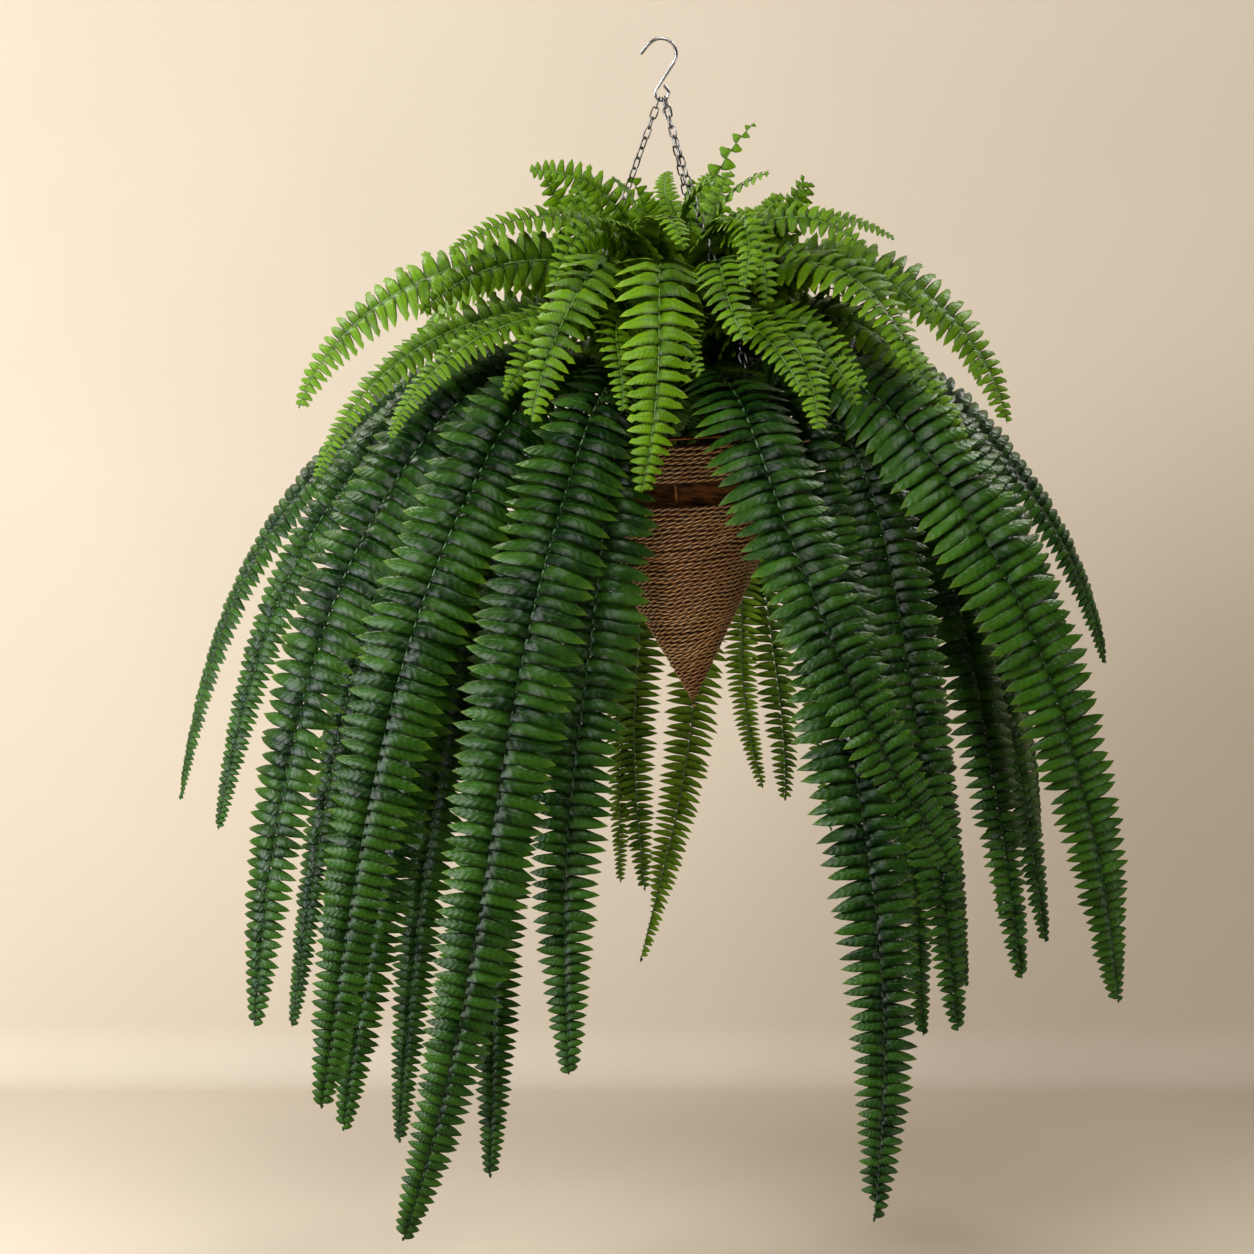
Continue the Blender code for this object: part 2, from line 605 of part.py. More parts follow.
eye = bpy.data.objects.new("eye_of_hook", None)
eye.location = EYE_CENTRE
eye.rotation_euler = (0, LEAN, 0)
rim = bpy.data.objects.new("centre_of_rim", None)
rim.location = (0, 0, -RIM_DROP)
rim.parent = eye
plant = bpy.data.objects.new("upright_plant", None)
plant.location = EYE_CENTRE + Matrix.Rotation(LEAN, 3, "Y") @ rim.location
for empty in (eye, rim, plant):
    fern.objects.link(empty)

steel = principled("galvanised_steel", (0.55, 0.55, 0.56), 0.3, 1.0)
rope = principled("twisted_rope", (0.36, 0.19, 0.08), 0.85)
fibre = principled("liner_fibre", (0.20, 0.09, 0.03), 0.95)
earth = principled("potting_soil", (0.04, 0.028, 0.02), 1.0)
mature_green = principled("mature_frond", (0.03, 0.12, 0.03), 0.4)
young_green = principled("young_frond", (0.16, 0.36, 0.04), 0.45)

finish_object(hook(), None, steel)
for chain_side in CHAIN_AZIMUTHS:
    finish_object(chain(chain_side), eye, steel)
finish_object(frame(), rim, steel)
finish_object(upper_rope(), rim, rope)
finish_object(lower_rope(), rim, rope)
finish_object(liner(), rim, fibre)
soil_fill = finish_object(soil(), rim, earth)
for planted in FRONDS:
    siblings = [other for other in FRONDS if layer(other) == layer(planted)]
    green = mature_green if planted.name.startswith("mature") else young_green
    finish_object(frond_solid("frond_" + planted.name, planted, siblings), plant, green)
    root = outward(planted.azimuth) * LINES_MM[planted.line][0][0] * MM
    hole_cutter(planted.name, root, ROOT_FOOT, (RIB_THICKNESS, 2 * RIB_HALF_WIDTH), planted.azimuth)
for planted in CROWNS:
    finish_object(crown_solid(planted), plant, young_green)
    root = outward(planted.azimuth) * CROWN_CIRCLE
    hole_cutter(planted.name, root, CROWN_FOOT, (2 * CROWN_RADIUS, 2 * CROWN_RADIUS), planted.azimuth)
holes = soil_fill.modifiers.new("holes", "BOOLEAN")
holes.operand_type = "COLLECTION"
holes.collection = cutters
holes.operation = "DIFFERENCE"
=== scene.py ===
"""The looks of a Boston fern in its hanging basket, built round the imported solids.

Units are metres and +Z is up. The origin is where the hook bears on what it hangs from, and the front
of the plant faces -Y. The chains and the basket lean together from the hook's eye, and the fronds hang
straight down. Sizes and lines follow the solids' own. The crowns' tufts and the shoots are fronds that
only the scene has.
"""

import math
from collections import namedtuple

import bpy
import numpy as np
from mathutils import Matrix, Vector


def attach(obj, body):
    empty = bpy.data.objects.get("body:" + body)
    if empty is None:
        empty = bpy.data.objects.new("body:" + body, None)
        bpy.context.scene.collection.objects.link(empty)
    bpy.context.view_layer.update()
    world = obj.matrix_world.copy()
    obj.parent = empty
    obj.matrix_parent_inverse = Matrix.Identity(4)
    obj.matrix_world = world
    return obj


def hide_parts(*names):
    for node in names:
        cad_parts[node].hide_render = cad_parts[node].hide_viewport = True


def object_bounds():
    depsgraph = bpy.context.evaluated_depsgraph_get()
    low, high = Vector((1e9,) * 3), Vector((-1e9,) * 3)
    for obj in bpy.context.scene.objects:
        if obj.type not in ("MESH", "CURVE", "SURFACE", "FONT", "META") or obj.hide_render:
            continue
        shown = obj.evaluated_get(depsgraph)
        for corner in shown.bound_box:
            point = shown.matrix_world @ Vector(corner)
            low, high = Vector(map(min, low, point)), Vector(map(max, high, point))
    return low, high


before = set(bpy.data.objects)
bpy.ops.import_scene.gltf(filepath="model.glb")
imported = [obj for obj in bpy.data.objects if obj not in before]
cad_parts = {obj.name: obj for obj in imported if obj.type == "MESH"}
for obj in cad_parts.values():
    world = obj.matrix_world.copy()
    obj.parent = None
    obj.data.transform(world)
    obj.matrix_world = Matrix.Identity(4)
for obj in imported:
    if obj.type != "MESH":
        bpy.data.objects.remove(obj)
cad_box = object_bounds()
BOX = np.array([list(corner) for corner in cad_box])  # the solids' box

MM = 0.001
CLEARANCE = 0.3 * MM

# Hook and chains
HOOK_WIRE = 3.2 * MM
CROOK_RADIUS = 15.1 * MM
CROOK_OPENS_AT = math.radians(140)
CROOK_LEG = 13 * MM
EYE_RADIUS = 6.6 * MM
EYE_CENTRE = np.array([1.2, 0, -51.5]) * MM
EYE_ENDS_AT = math.radians(400)
EYE_LEG = 5 * MM
LEAN = math.radians(-3.1)
LINK_WIRE = 1.7 * MM
LINK_HALF_WIDTH = 3.1 * MM
LINKS = 34  # an even number, which chain counts on
LINK_TURN = math.radians(50)  # by which a chain's middle links are turned as well
END_LINKS = 5  # at each end, over which that turn grows
CHAIN_AZIMUTHS = {"left": 186, "back": 66, "front": 306}
EYE_SEATS = {"left": -32, "back": 38, "front": 3}

# Basket, with heights from the rim's plane
RIM_DROP = 327 * MM
RIM_RADIUS = 145 * MM
BASKET_DEPTH = 280 * MM
WALL_TURN = math.atan2(RIM_RADIUS, BASKET_DEPTH)
ROPE_THICKNESS = 4.5 * MM
RIB_WIRE = 2.4 * MM
RIM_WIRE = 3.6 * MM
RIB_COUNT = 6
FIRST_RIB = 206
RIB_FOOT = -262 * MM
FRAME_INWARDS = ROPE_THICKNESS + CLEARANCE + RIB_WIRE / 2
LINER_INWARDS = FRAME_INWARDS + RIB_WIRE / 2 + CLEARANCE
LINER_THICKNESS = 4.5 * MM
UPPER_BAND = (-7 * MM, -43 * MM)
LOWER_BAND = (-68 * MM, -279 * MM)
LINER_TOP, LINER_FOOT = -7 * MM, -240 * MM
SOIL_TOP, SOIL_FOOT, SOIL_CROWN = -14 * MM, -234 * MM, 4 * MM

# Fronds: the lines that their ribs follow, as (radius, height) from the rim's centre
LINES_MM = {
    "outer": [(48, -34), (48, -8), (54, 21), (78, 48), (120, 64), (170, 60), (225, 27), (275, -42),
              (318, -130), (350, -240), (378, -400), (395, -560), (405, -720), (412, -900)],
    "under": [(66, -34), (66, -8), (72, 8), (92, 20), (118, 23), (146, 15), (172, -8), (199, -50),
              (233, -98), (270, -142), (300, -190), (330, -270), (358, -380), (378, -500), (392, -640),
              (402, -800)],
    "middle": [(72, -34), (72, -8), (78, 12), (98, 32), (130, 41), (168, 32), (208, -4), (240, -70),
               (266, -160), (292, -280), (316, -420), (334, -570), (346, -720), (354, -880)],
    "inner": [(98, -34), (98, -8), (103, 5), (118, 18), (142, 21), (168, 8), (190, -30), (206, -90),
              (222, -180), (240, -300), (258, -430), (272, -580), (284, -720), (292, -860)],
    "brow": [(38, -34), (38, -8), (43, 40), (66, 86), (108, 112), (158, 112), (212, 88), (260, 38),
             (292, -30), (312, -110), (322, -190), (328, -260)],
    "crest": [(28, -34), (28, -8), (34, 60), (56, 118), (98, 156), (150, 166), (205, 150), (255, 110),
              (290, 55), (308, -5), (318, -80), (324, -170)],
    "crown": [(2, -14), (2, -6), (5, 90), (24, 152), (60, 190), (100, 206), (140, 207), (178, 194),
              (212, 170), (240, 138)],
    "plume": [(2, -14), (2, -6), (5, 90), (20, 160), (50, 212), (88, 242), (128, 252), (166, 244)],
    "spire": [(2, -14), (2, -6), (4, 90), (12, 170), (30, 236), (56, 282), (90, 312)],
    "rising": [(2, -14), (2, -6), (10, 60), (40, 125), (72, 172), (100, 212), (122, 250)],
    "nodding": [(2, -14), (2, -6), (8, 90), (24, 150), (52, 186), (88, 196), (120, 180), (142, 144),
                (152, 100), (156, 60)],
}
LAYERS = {"under": "outer"}  # lines whose ends hang level with another line's
SHOULDER = 120 * MM
CHAIN_REACH = 24 * MM
CHAIN_ROOM = 5.5 * MM
RIB_HALF_WIDTH = 1.5 * MM

Frond = namedtuple("Frond", "name line azimuth length half_width sway reach bare", defaults=(0, 1, 0.1))

# Line, azimuth, length and half width in millimetres, and where they aren't 0 and 1, sway and reach
MATURE_FRONDS = [
    ("outer", 172, 800, 34, 0, 1.55), ("outer", 191, 760, 36, 0, 1.33), ("outer", 207, 910, 56, -3, 1.2),
    ("outer", 228, 960, 56, -16, 1.05), ("outer", 249, 1060, 56, -19), ("under", 299, 905, 55, -2),
    ("outer", 281, 740, 54, 34), ("outer", 322, 925, 56, 26, 1.2), ("outer", 347, 610, 46, 2, 1.15),
    ("outer", 6, 620, 40, 0, 1.38), ("outer", 28, 800, 50, 0, 1.2), ("outer", 50, 820, 46, 0, 1.05),
    ("outer", 82, 950, 42, 12, 0.95), ("outer", 105, 840, 32, -7, 0.9), ("outer", 128, 880, 50, 0, 1.1),
    ("outer", 150, 860, 48, 0, 1.25), ("middle", 197, 830, 38, 0, 1.3), ("middle", 215, 900, 50, -4, 1.15),
    ("middle", 238, 900, 50, -11), ("middle", 252, 790, 52, -2), ("middle", 318, 780, 48, -2, 1.1),
    ("middle", 338, 760, 48, 0, 1.15), ("middle", 357, 760, 44, 0, 1.2), ("middle", 18, 760, 44, 0, 1.15),
    ("middle", 39, 780, 44, 0, 1.05), ("middle", 59, 680, 32), ("middle", 76, 630, 30, -4, 0.95),
    ("middle", 138, 820, 46, 0, 1.1), ("middle", 163, 820, 44, 0, 1.25), ("inner", 207, 840, 40, 0, 1.15),
    ("inner", 229, 840, 42, 0, 1.05), ("inner", 327, 720, 40, 0, 1.1), ("inner", 346, 700, 38, 0, 1.15),
]
YOUNG_FRONDS = [
    ("crest", 262, 500, 42, 0, 0.6), ("crest", 238, 450, 40, 0, 0.7), ("crest", 177, 560, 44, 0, 1.42),
    ("crest", 150, 500, 40, 0, 1.2), ("crest", 124, 450, 38), ("crest", 96, 440, 38, 0, 0.9),
    ("crest", 43, 450, 38), ("crest", 18, 500, 40, 0, 1.15), ("crest", 350, 520, 42, 0, 1.1),
    ("crest", 322, 440, 40), ("crest", 285, 370, 38, 0, 0.7), ("brow", 194, 500, 28, 0, 1.4),
    ("brow", 211, 430, 26, 0, 1.25), ("brow", 298, 380, 32), ("brow", 335, 430, 30, 0, 1.1),
]
FRONDS = [
    Frond(f"{age}_{number:02d}", *row)
    for age, rows in (("mature", MATURE_FRONDS), ("young", YOUNG_FRONDS))
    for number, row in enumerate(rows, 1)
]

# The crowns, with the azimuth each stands at, the three fronds of its solid, and a tuft of small ones that
# only the scene has. A row is a frond's line, azimuth, length, half width and reach.
Crown = namedtuple("Crown", "name azimuth fronds tuft")
CROWN_CIRCLE = 14 * MM
CROWN_RADIUS = 4 * MM
CROWN_FOOT, CROWN_TOP = -34 * MM, -7 * MM
CROWN_BARE, TUFT_BARE = 0.4, 0.28  # share of a frond that has no leaflets
CROWNS = [
    Crown("left", 200, [
        ("plume", 160, 340, 32, 1), ("crown", 203, 400, 30, 1.2), ("crown", 240, 300, 26, 0.7),
    ], [
        ("rising", 180, 290, 40, 1), ("rising", 222, 270, 34, 1), ("rising", 112, 270, 36, 1),
        ("rising", 12, 275, 36, 1), ("spire", 170, 262, 36, 1), ("nodding", 216, 330, 34, 1),
        ("plume", 206, 290, 36, 0.8), ("plume", 300, 300, 34, 0.7), ("plume", 236, 290, 32, 0.7),
        ("brow", 222, 320, 32, 0.8), ("crown", 264, 345, 32, 0.6), ("spire", 110, 250, 34, 1),
        ("brow", 250, 330, 30, 0.7),
    ]),
    Crown("right", 325, [
        ("crown", 4, 370, 24, 1.1), ("spire", 40, 330, 18, 1), ("crown", 284, 310, 26, 0.7),
    ], [
        ("rising", 70, 280, 36, 1), ("rising", 330, 290, 38, 1), ("rising", 356, 285, 36, 1),
        ("rising", 172, 282, 38, 1), ("spire", 352, 270, 36, 1), ("nodding", 297, 350, 34, 1),
        ("nodding", 318, 330, 34, 1), ("crown", 290, 385, 32, 0.6), ("plume", 306, 310, 34, 0.8),
        ("crown", 318, 360, 34, 0.8), ("spire", 78, 262, 34, 1), ("brow", 300, 340, 30, 0.8),
        ("brow", 340, 330, 30, 0.9),
    ]),
    Crown("back", 85, [
        ("crown", 134, 340, 28, 1), ("plume", 95, 310, 24, 0.8), ("crown", 40, 340, 28, 1),
    ], [
        ("rising", 100, 270, 34, 1), ("rising", 20, 270, 32, 1), ("rising", 180, 270, 32, 1),
        ("crown", 75, 320, 30, 0.8), ("plume", 60, 300, 30, 0.9), ("brow", 112, 320, 30, 0.9),
        ("spire", 230, 240, 30, 1), ("brow", 30, 320, 30, 0.9),
    ]),
]

# Leaflets have points at these shares of their length and half width. Their outlines are half widths at
# the rows, as shares of the widest.
ROWS = np.array([0, 0.12, 0.29, 0.49, 0.67, 0.82, 0.94])
COLUMNS = np.array([-1, -0.52, 0, 0.52, 1])
BROAD = np.array([0.96, 1.00, 1.00, 0.95, 0.80, 0.52, 0.18])
NARROW = np.array([1.12, 1.05, 1.00, 0.88, 0.68, 0.42, 0.15])
POINTED = np.array([1.04, 1.02, 0.96, 0.82, 0.61, 0.37, 0.13])
JOINED = np.array([1.14, 1.05, 0.95, 0.83, 0.66, 0.41, 0.14])  # the feet of neighbours meet

# How leaflets grow on each kind of frond. pitch is the room along the rib for one leaflet, down to the
# share fine of it at the tip, where taper is the last stretch's share of the frond's length. overlap is a
# leaflet's width as a share of its room, near the foot of the frond and near its tip. arch, droop and lean
# are shares of a leaflet's length, and cup, crimp and tooth of its half width. tilt and facing are degrees:
# facing turns the fronds at both sides of the plant towards its front. crossing is how much further than
# the solids a leaflet may lie over the next frond. broad is the half width in millimetres of the frond that
# the pitch belongs to, and shapes are the leaflets' outlines high on the frond and on its hanging end.
Habit = namedtuple(
    "Habit", "pitch fine taper overlap arch droop lean cup crimp tilt tooth facing crossing broad shapes"
)
MATURE = Habit(
    12.9 * MM, 0.56, 0.38, (1.42, 1.14), 0.07, 0.13, 0.10, 0.24, 0.07, 19, 0.07, 44, 2.4, 54, (BROAD, NARROW)
)
YOUNG = Habit(
    13.5 * MM, 0.40, 0.45, (1.08, 0.92), 0.05, 0.16, 0.16, 0.22, 0.12, 9, 0.34, 36, 3.2, 42, (POINTED, NARROW)
)
CRISP = Habit(
    12.5 * MM, 0.40, 0.45, (1.10, 0.90), 0.04, 0.12, 0.20, 0.26, 0.13, 9, 0.34, 46, 3.0, 30, (POINTED, NARROW)
)
SPARSE = Habit(
    26 * MM, 0.40, 0.60, (0.62, 0.66), 0.03, 0.05, 0.30, 0.20, 0.10, 4, 0.20, 60, 3.0, 18, (POINTED, POINTED)
)
UPRIGHT = CRISP._replace(facing=80)
FACED = YOUNG._replace(pitch=15.5 * MM, overlap=(1.24, 1.08), lean=0.2, shapes=(JOINED, POINTED))
TUFTED = CRISP._replace(pitch=14.5 * MM, overlap=(1.16, 1.0), facing=74, shapes=(JOINED, POINTED))


def unit(vectors):
    """Vectors scaled to length one along their last axis."""
    return vectors / np.linalg.norm(vectors, axis=-1, keepdims=True)


def outward(azimuth):
    """The level direction at an azimuth in degrees, for one azimuth or many."""
    turn = np.radians(azimuth)
    return np.stack([np.cos(turn), np.sin(turn), np.zeros_like(turn)], axis=-1)


def ease(values):
    """A smooth rise from 0 to 1 as the values go from 0 to 1: 3v squared less 2v cubed, held at the ends."""
    held = np.clip(values, 0, 1)
    return held * held * (3 - 2 * held)


def about_eye(points):
    """Points from the eye's frame, turned by the lean about Y and moved to the eye."""
    c, s = math.cos(LEAN), math.sin(LEAN)
    return points @ np.array([[c, 0, s], [0, 1, 0], [-s, 0, c]]).T + EYE_CENTRE


def about_rim(points):
    """Points from the leaning frame of the basket's rim."""
    return about_eye(points - np.array([0, 0, RIM_DROP]))


PLANT = about_rim(np.zeros(3))  # the middle of the rim, where the upright frame of the fronds sits


def wall_radius(height, inwards):
    """The basket's radius at a height from the rim, that far inside its outer face."""
    return (height + BASKET_DEPTH) * math.tan(WALL_TURN) - inwards / math.cos(WALL_TURN)


# A part of a piece: its points with their growth values, and its faces with their pattern places and the
# numbers of the materials that they wear
Part = namedtuple("Part", "points growth quads quad_uv tris tri_uv quad_slots tri_slots")
NO_TRIS = np.zeros((0, 3), int)


def part(points, quads, quad_uv, tris=NO_TRIS, tri_uv=None, growth=(0, 0.5, 0.5), slot=0, slots=None):
    """A Part whose faces all wear one material, unless slots gives one for each quad and each triangle."""
    growth = np.broadcast_to(np.asarray(growth, float), (len(points), 3))
    if tri_uv is None:
        tri_uv = np.zeros((len(tris), 3, 2))
    quad_slots, tri_slots = slots or (np.full(len(quads), slot), np.full(len(tris), slot))
    return Part(points, growth, quads, quad_uv, tris, tri_uv, quad_slots, tri_slots)


def joined(parts):
    """Several Parts as one, with each one's face indices moved past the points before it."""
    starts = np.cumsum([0] + [len(p.points) for p in parts[:-1]])
    shift = {"quads": starts, "tris": starts}
    made = {}
    for field in Part._fields:
        moved = shift.get(field, np.zeros(len(parts), int))
        made[field] = np.concatenate([getattr(p, field) + m for p, m in zip(parts, moved)])
    return Part(**made)


SHARP = math.radians(60)  # edges that turn more than this are shaded sharp


def piece(name, parts, materials, stands_for):
    """One object from its Parts, riding on the root body, in place of its CAD node."""
    whole = joined(parts)
    corners = np.concatenate([whole.quads.ravel(), whole.tris.ravel()])
    sizes = np.repeat([4, 3], [len(whole.quads), len(whole.tris)])
    mesh = bpy.data.meshes.new(name)
    mesh.vertices.add(len(whole.points))
    mesh.vertices.foreach_set("co", np.clip(whole.points, *BOX).astype(np.float32).ravel())
    mesh.loops.add(len(corners))
    mesh.loops.foreach_set("vertex_index", corners.astype(np.int32))
    mesh.polygons.add(len(sizes))
    mesh.polygons.foreach_set("loop_start", (np.cumsum(sizes) - sizes).astype(np.int32))
    worn = np.concatenate([whole.quad_slots, whole.tri_slots])
    mesh.polygons.foreach_set("material_index", worn.astype(np.int32))
    mesh.update(calc_edges=True)
    pattern = np.concatenate([whole.quad_uv.ravel(), whole.tri_uv.ravel()])
    mesh.uv_layers.new(name="pattern").uv.foreach_set("vector", pattern.astype(np.float32))
    colours = np.ones((len(whole.points), 4), np.float32)
    colours[:, :3] = whole.growth
    mesh.attributes.new("growth", "FLOAT_COLOR", "POINT").data.foreach_set("color", colours.ravel())
    mesh.shade_smooth()
    mesh.set_sharp_from_angle(angle=SHARP)
    for material in materials:
        mesh.materials.append(material)
    made = bpy.data.objects.new(name, mesh)
    bpy.context.scene.collection.objects.link(made)
    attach(made, "root")
    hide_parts(stands_for)


def along_path(path, side_hint, closed=False):
    """Unit directions along a path, to its side and up from it, so that side x up = along. The side is the
    hint less the share of it that runs along the path."""
    along = unit(np.roll(path, -1, 0) - np.roll(path, 1, 0) if closed else np.gradient(path, axis=0))
    side = unit(side_hint - along * (side_hint * along).sum(-1, keepdims=True))
    return along, side, np.cross(along, side)


def grid(rows, columns, closed=False):
    """The quads over rows of points, numbered row by row, where each row runs round to its start: their
    corners' numbers, and places as shares of the rows and columns. closed joins the last row to the first."""
    i, j = np.meshgrid(np.arange(rows if closed else rows - 1), np.arange(columns), indexing="ij")
    i, j = i.ravel()[:, None] + [0, 0, 1, 1], j.ravel()[:, None] + [0, 1, 1, 0]
    return i % rows * columns + j % columns, np.stack([i / rows, j / columns], -1)


def carried(path, side, up, profile, closed=False, uv_scale=(1, 1), growth=(0, 0.5, 0.5), slot=0):
    """A closed profile carried along a path: point (i, j) is path i plus side i times the profile's x plus
    up i times its y. The profile may change on the way. The ends are closed by fans to their middles."""
    steps = len(path)
    profile = np.broadcast_to(profile, (steps,) + profile.shape[-2:])
    ring = profile.shape[1]
    points = path[:, None] + side[:, None] * profile[..., :1] + up[:, None] * profile[..., 1:]
    points = points.reshape(-1, 3)
    quads, places = grid(steps, ring, closed)
    if closed:
        return part(points, quads, places * uv_scale, growth=growth, slot=slot)
    ends = np.stack([points[:ring].mean(0), points[-ring:].mean(0)])
    rim = np.arange(ring)
    after = (rim + 1) % ring
    low = (steps - 1) * ring
    tris = np.vstack([
        np.stack([np.full(ring, len(points)), after, rim], 1),
        np.stack([low + rim, low + after, np.full(ring, len(points) + 1)], 1),
    ])
    tri_uv = np.zeros((2 * ring, 3, 2))
    tri_uv[ring:, :, 0] = uv_scale[0]
    if np.ndim(growth) == 2:
        growth = np.concatenate([np.repeat(growth, ring, axis=0), growth[:1], growth[-1:]])
    return part(np.vstack([points, ends]), quads, places * uv_scale, tris, tri_uv, growth, slot)


def circle(radius, corners, first=0.0):
    """Corners of a round profile: the radius times the cosine and sine of even turns."""
    turn = first + np.linspace(0, math.tau, corners, endpoint=False)
    return radius * np.stack([np.cos(turn), np.sin(turn)], 1)


def wire(path, radius, side_hint, corners=12, closed=False):
    """A round wire along a path: a circle carried along it, with flat ends."""
    _, side, up = along_path(path, np.asarray(side_hint, float), closed)
    return carried(path, side, up, circle(radius, corners), closed)


def turned(profile, corners):
    """A profile of (radius, height) turned round the Z axis, running down its outer side: point (i, j) is
    profile i in direction j. It starts and ends on the axis, where fans close it."""
    profile = np.asarray(profile, float)
    rows = profile[1:-1]
    turn = np.linspace(0, math.tau, corners, endpoint=False)
    points = np.stack([
        rows[:, :1] * np.cos(turn), rows[:, :1] * np.sin(turn), np.repeat(rows[:, 1:], corners, axis=1)
    ], -1).reshape(-1, 3)
    quads, places = grid(len(rows), corners)
    outside = [0, 3, 2, 1]  # the corners the other way round, so that the faces look outwards
    rim, low = np.arange(corners), (len(rows) - 1) * corners
    after = (rim + 1) % corners
    tris = np.vstack([
        np.stack([np.full(corners, len(points)), rim, after], 1),
        np.stack([low + after, low + rim, np.full(corners, len(points) + 1)], 1),
    ])
    poles = [[0, 0, profile[0, 1]], [0, 0, profile[-1, 1]]]
    return part(np.vstack([points, poles]), quads[:, outside], places[:, outside, ::-1], tris)


WAVES = 24


def waves(points, rng, size):
    """A smooth random height at each point: a sum of sines in random directions, about one wave to each
    size, scaled to keep near -1 to 1."""
    directions = unit(rng.normal(size=(WAVES, 3))) * math.tau / size * rng.uniform(0.6, 1.6, (WAVES, 1))
    return np.sin(points @ directions.T + rng.uniform(0, math.tau, WAVES)).sum(1) / math.sqrt(WAVES)


def feed(tree, socket, value):
    """Joins an output to a socket, or sets the socket's own value."""
    if isinstance(value, bpy.types.NodeSocket):
        tree.links.new(value, socket)
    elif isinstance(value, (tuple, list)) and len(value) == 3 and socket.type == "RGBA":
        socket.default_value = (*value, 1)
    elif value is not None:
        socket.default_value = value


def sums(tree, operation, *values, clamp=False):
    """A Math node's result."""
    node = tree.nodes.new("ShaderNodeMath")
    node.operation = operation
    node.use_clamp = clamp
    for socket, value in zip(node.inputs, values):
        feed(tree, socket, value)
    return node.outputs[0]


def times(tree, product, *others):
    """The product of several values."""
    for other in others:
        product = sums(tree, "MULTIPLY", product, other)
    return product


def added(tree, total, *terms, clamp=False):
    """A total with each term's value times its share added in turn. clamp holds the last sum in 0 to 1."""
    for number, (value, share) in enumerate(terms, 1):
        total = sums(tree, "MULTIPLY_ADD", value, share, total, clamp=clamp and number == len(terms))
    return total


def between(tree, value, low, high, to_low=0.0, to_high=1.0):
    """A value taken smoothly from one range to another, and held at its ends."""
    node = tree.nodes.new("ShaderNodeMapRange")
    node.interpolation_type = "SMOOTHSTEP"
    for socket, given in zip(node.inputs, (value, low, high, to_low, to_high)):
        feed(tree, socket, given)
    return node.outputs[0]


def blended(tree, share, first, second):
    """A mix of two colours."""
    node = tree.nodes.new("ShaderNodeMix")
    node.data_type = "RGBA"
    for title, value in (("Factor", share), ("A", first), ("B", second)):
        feed(tree, node.inputs[title], value)
    return node.outputs["Result"]


def grain(tree, where, size, detail=3.0, roughness=0.55):
    """Noise with blotches of about that size in metres, or of that share of a pattern's width."""
    node = tree.nodes.new("ShaderNodeTexNoise")
    given = {"Vector": where, "Scale": 1 / size, "Detail": detail, "Roughness": roughness}
    for title, value in given.items():
        feed(tree, node.inputs[title], value)
    return node.outputs["Fac"]


def places(tree, kind="Object"):
    """The place of a point, by its object or by its pattern."""
    return tree.nodes.new("ShaderNodeTexCoord").outputs[kind]


def split(tree, vector):
    """The X, Y and Z of a vector."""
    node = tree.nodes.new("ShaderNodeSeparateXYZ")
    feed(tree, node.inputs[0], vector)
    return node.outputs[:3]


def grown(tree):
    """The three growth values of a point."""
    node = tree.nodes.new("ShaderNodeAttribute")
    node.attribute_name = "growth"
    return split(tree, node.outputs["Color"])


def group(name, inputs, outputs, build):
    """A shader node group. inputs and outputs are {name: (kind, value)}, and build(tree, inputs) returns
    what its outputs show, by name."""
    tree = bpy.data.node_groups.new(name, "ShaderNodeTree")
    for title, (kind, value) in inputs.items():
        socket = tree.interface.new_socket(title, in_out="INPUT", socket_type=kind)
        socket.default_value = (*value, 1) if kind == "NodeSocketColor" else value
    for title, kind in outputs.items():
        tree.interface.new_socket(title, in_out="OUTPUT", socket_type=kind)
    entry = tree.nodes.new("NodeGroupInput")
    leaving = tree.nodes.new("NodeGroupOutput")
    for title, shown in build(tree, entry.outputs).items():
        tree.links.new(shown, leaving.inputs[title])
    return tree


def placed(tree, of, **values):
    """A group's node in a material, with its own values, whose spaces are written as underscores."""
    node = tree.nodes.new("ShaderNodeGroup")
    node.node_tree = of
    for title, value in values.items():
        feed(tree, node.inputs[title.replace("_", " ")], value)
    return node.outputs


def material(name, **constants):
    """A new material with a Principled shader whose constant values are set on its own sockets."""
    made = bpy.data.materials.new(name)
    made.use_nodes = True
    shader = made.node_tree.nodes["Principled BSDF"]
    for title, value in constants.items():
        feed(made.node_tree, shader.inputs[title.replace("_", " ")], value)
    return made, made.node_tree, shader.inputs


def dressed(tree, shader, colour, roughness, height, relief):
    """Gives a shader what changes over the surface. relief is the bump's height in metres."""
    bump = tree.nodes.new("ShaderNodeBump")
    bump.inputs["Strength"].default_value = 1.0
    bump.inputs["Distance"].default_value = relief
    feed(tree, bump.inputs["Height"], height)
    feed(tree, shader["Base Color"], colour)
    feed(tree, shader["Roughness"], roughness)
    feed(tree, shader["Normal"], bump.outputs[0])


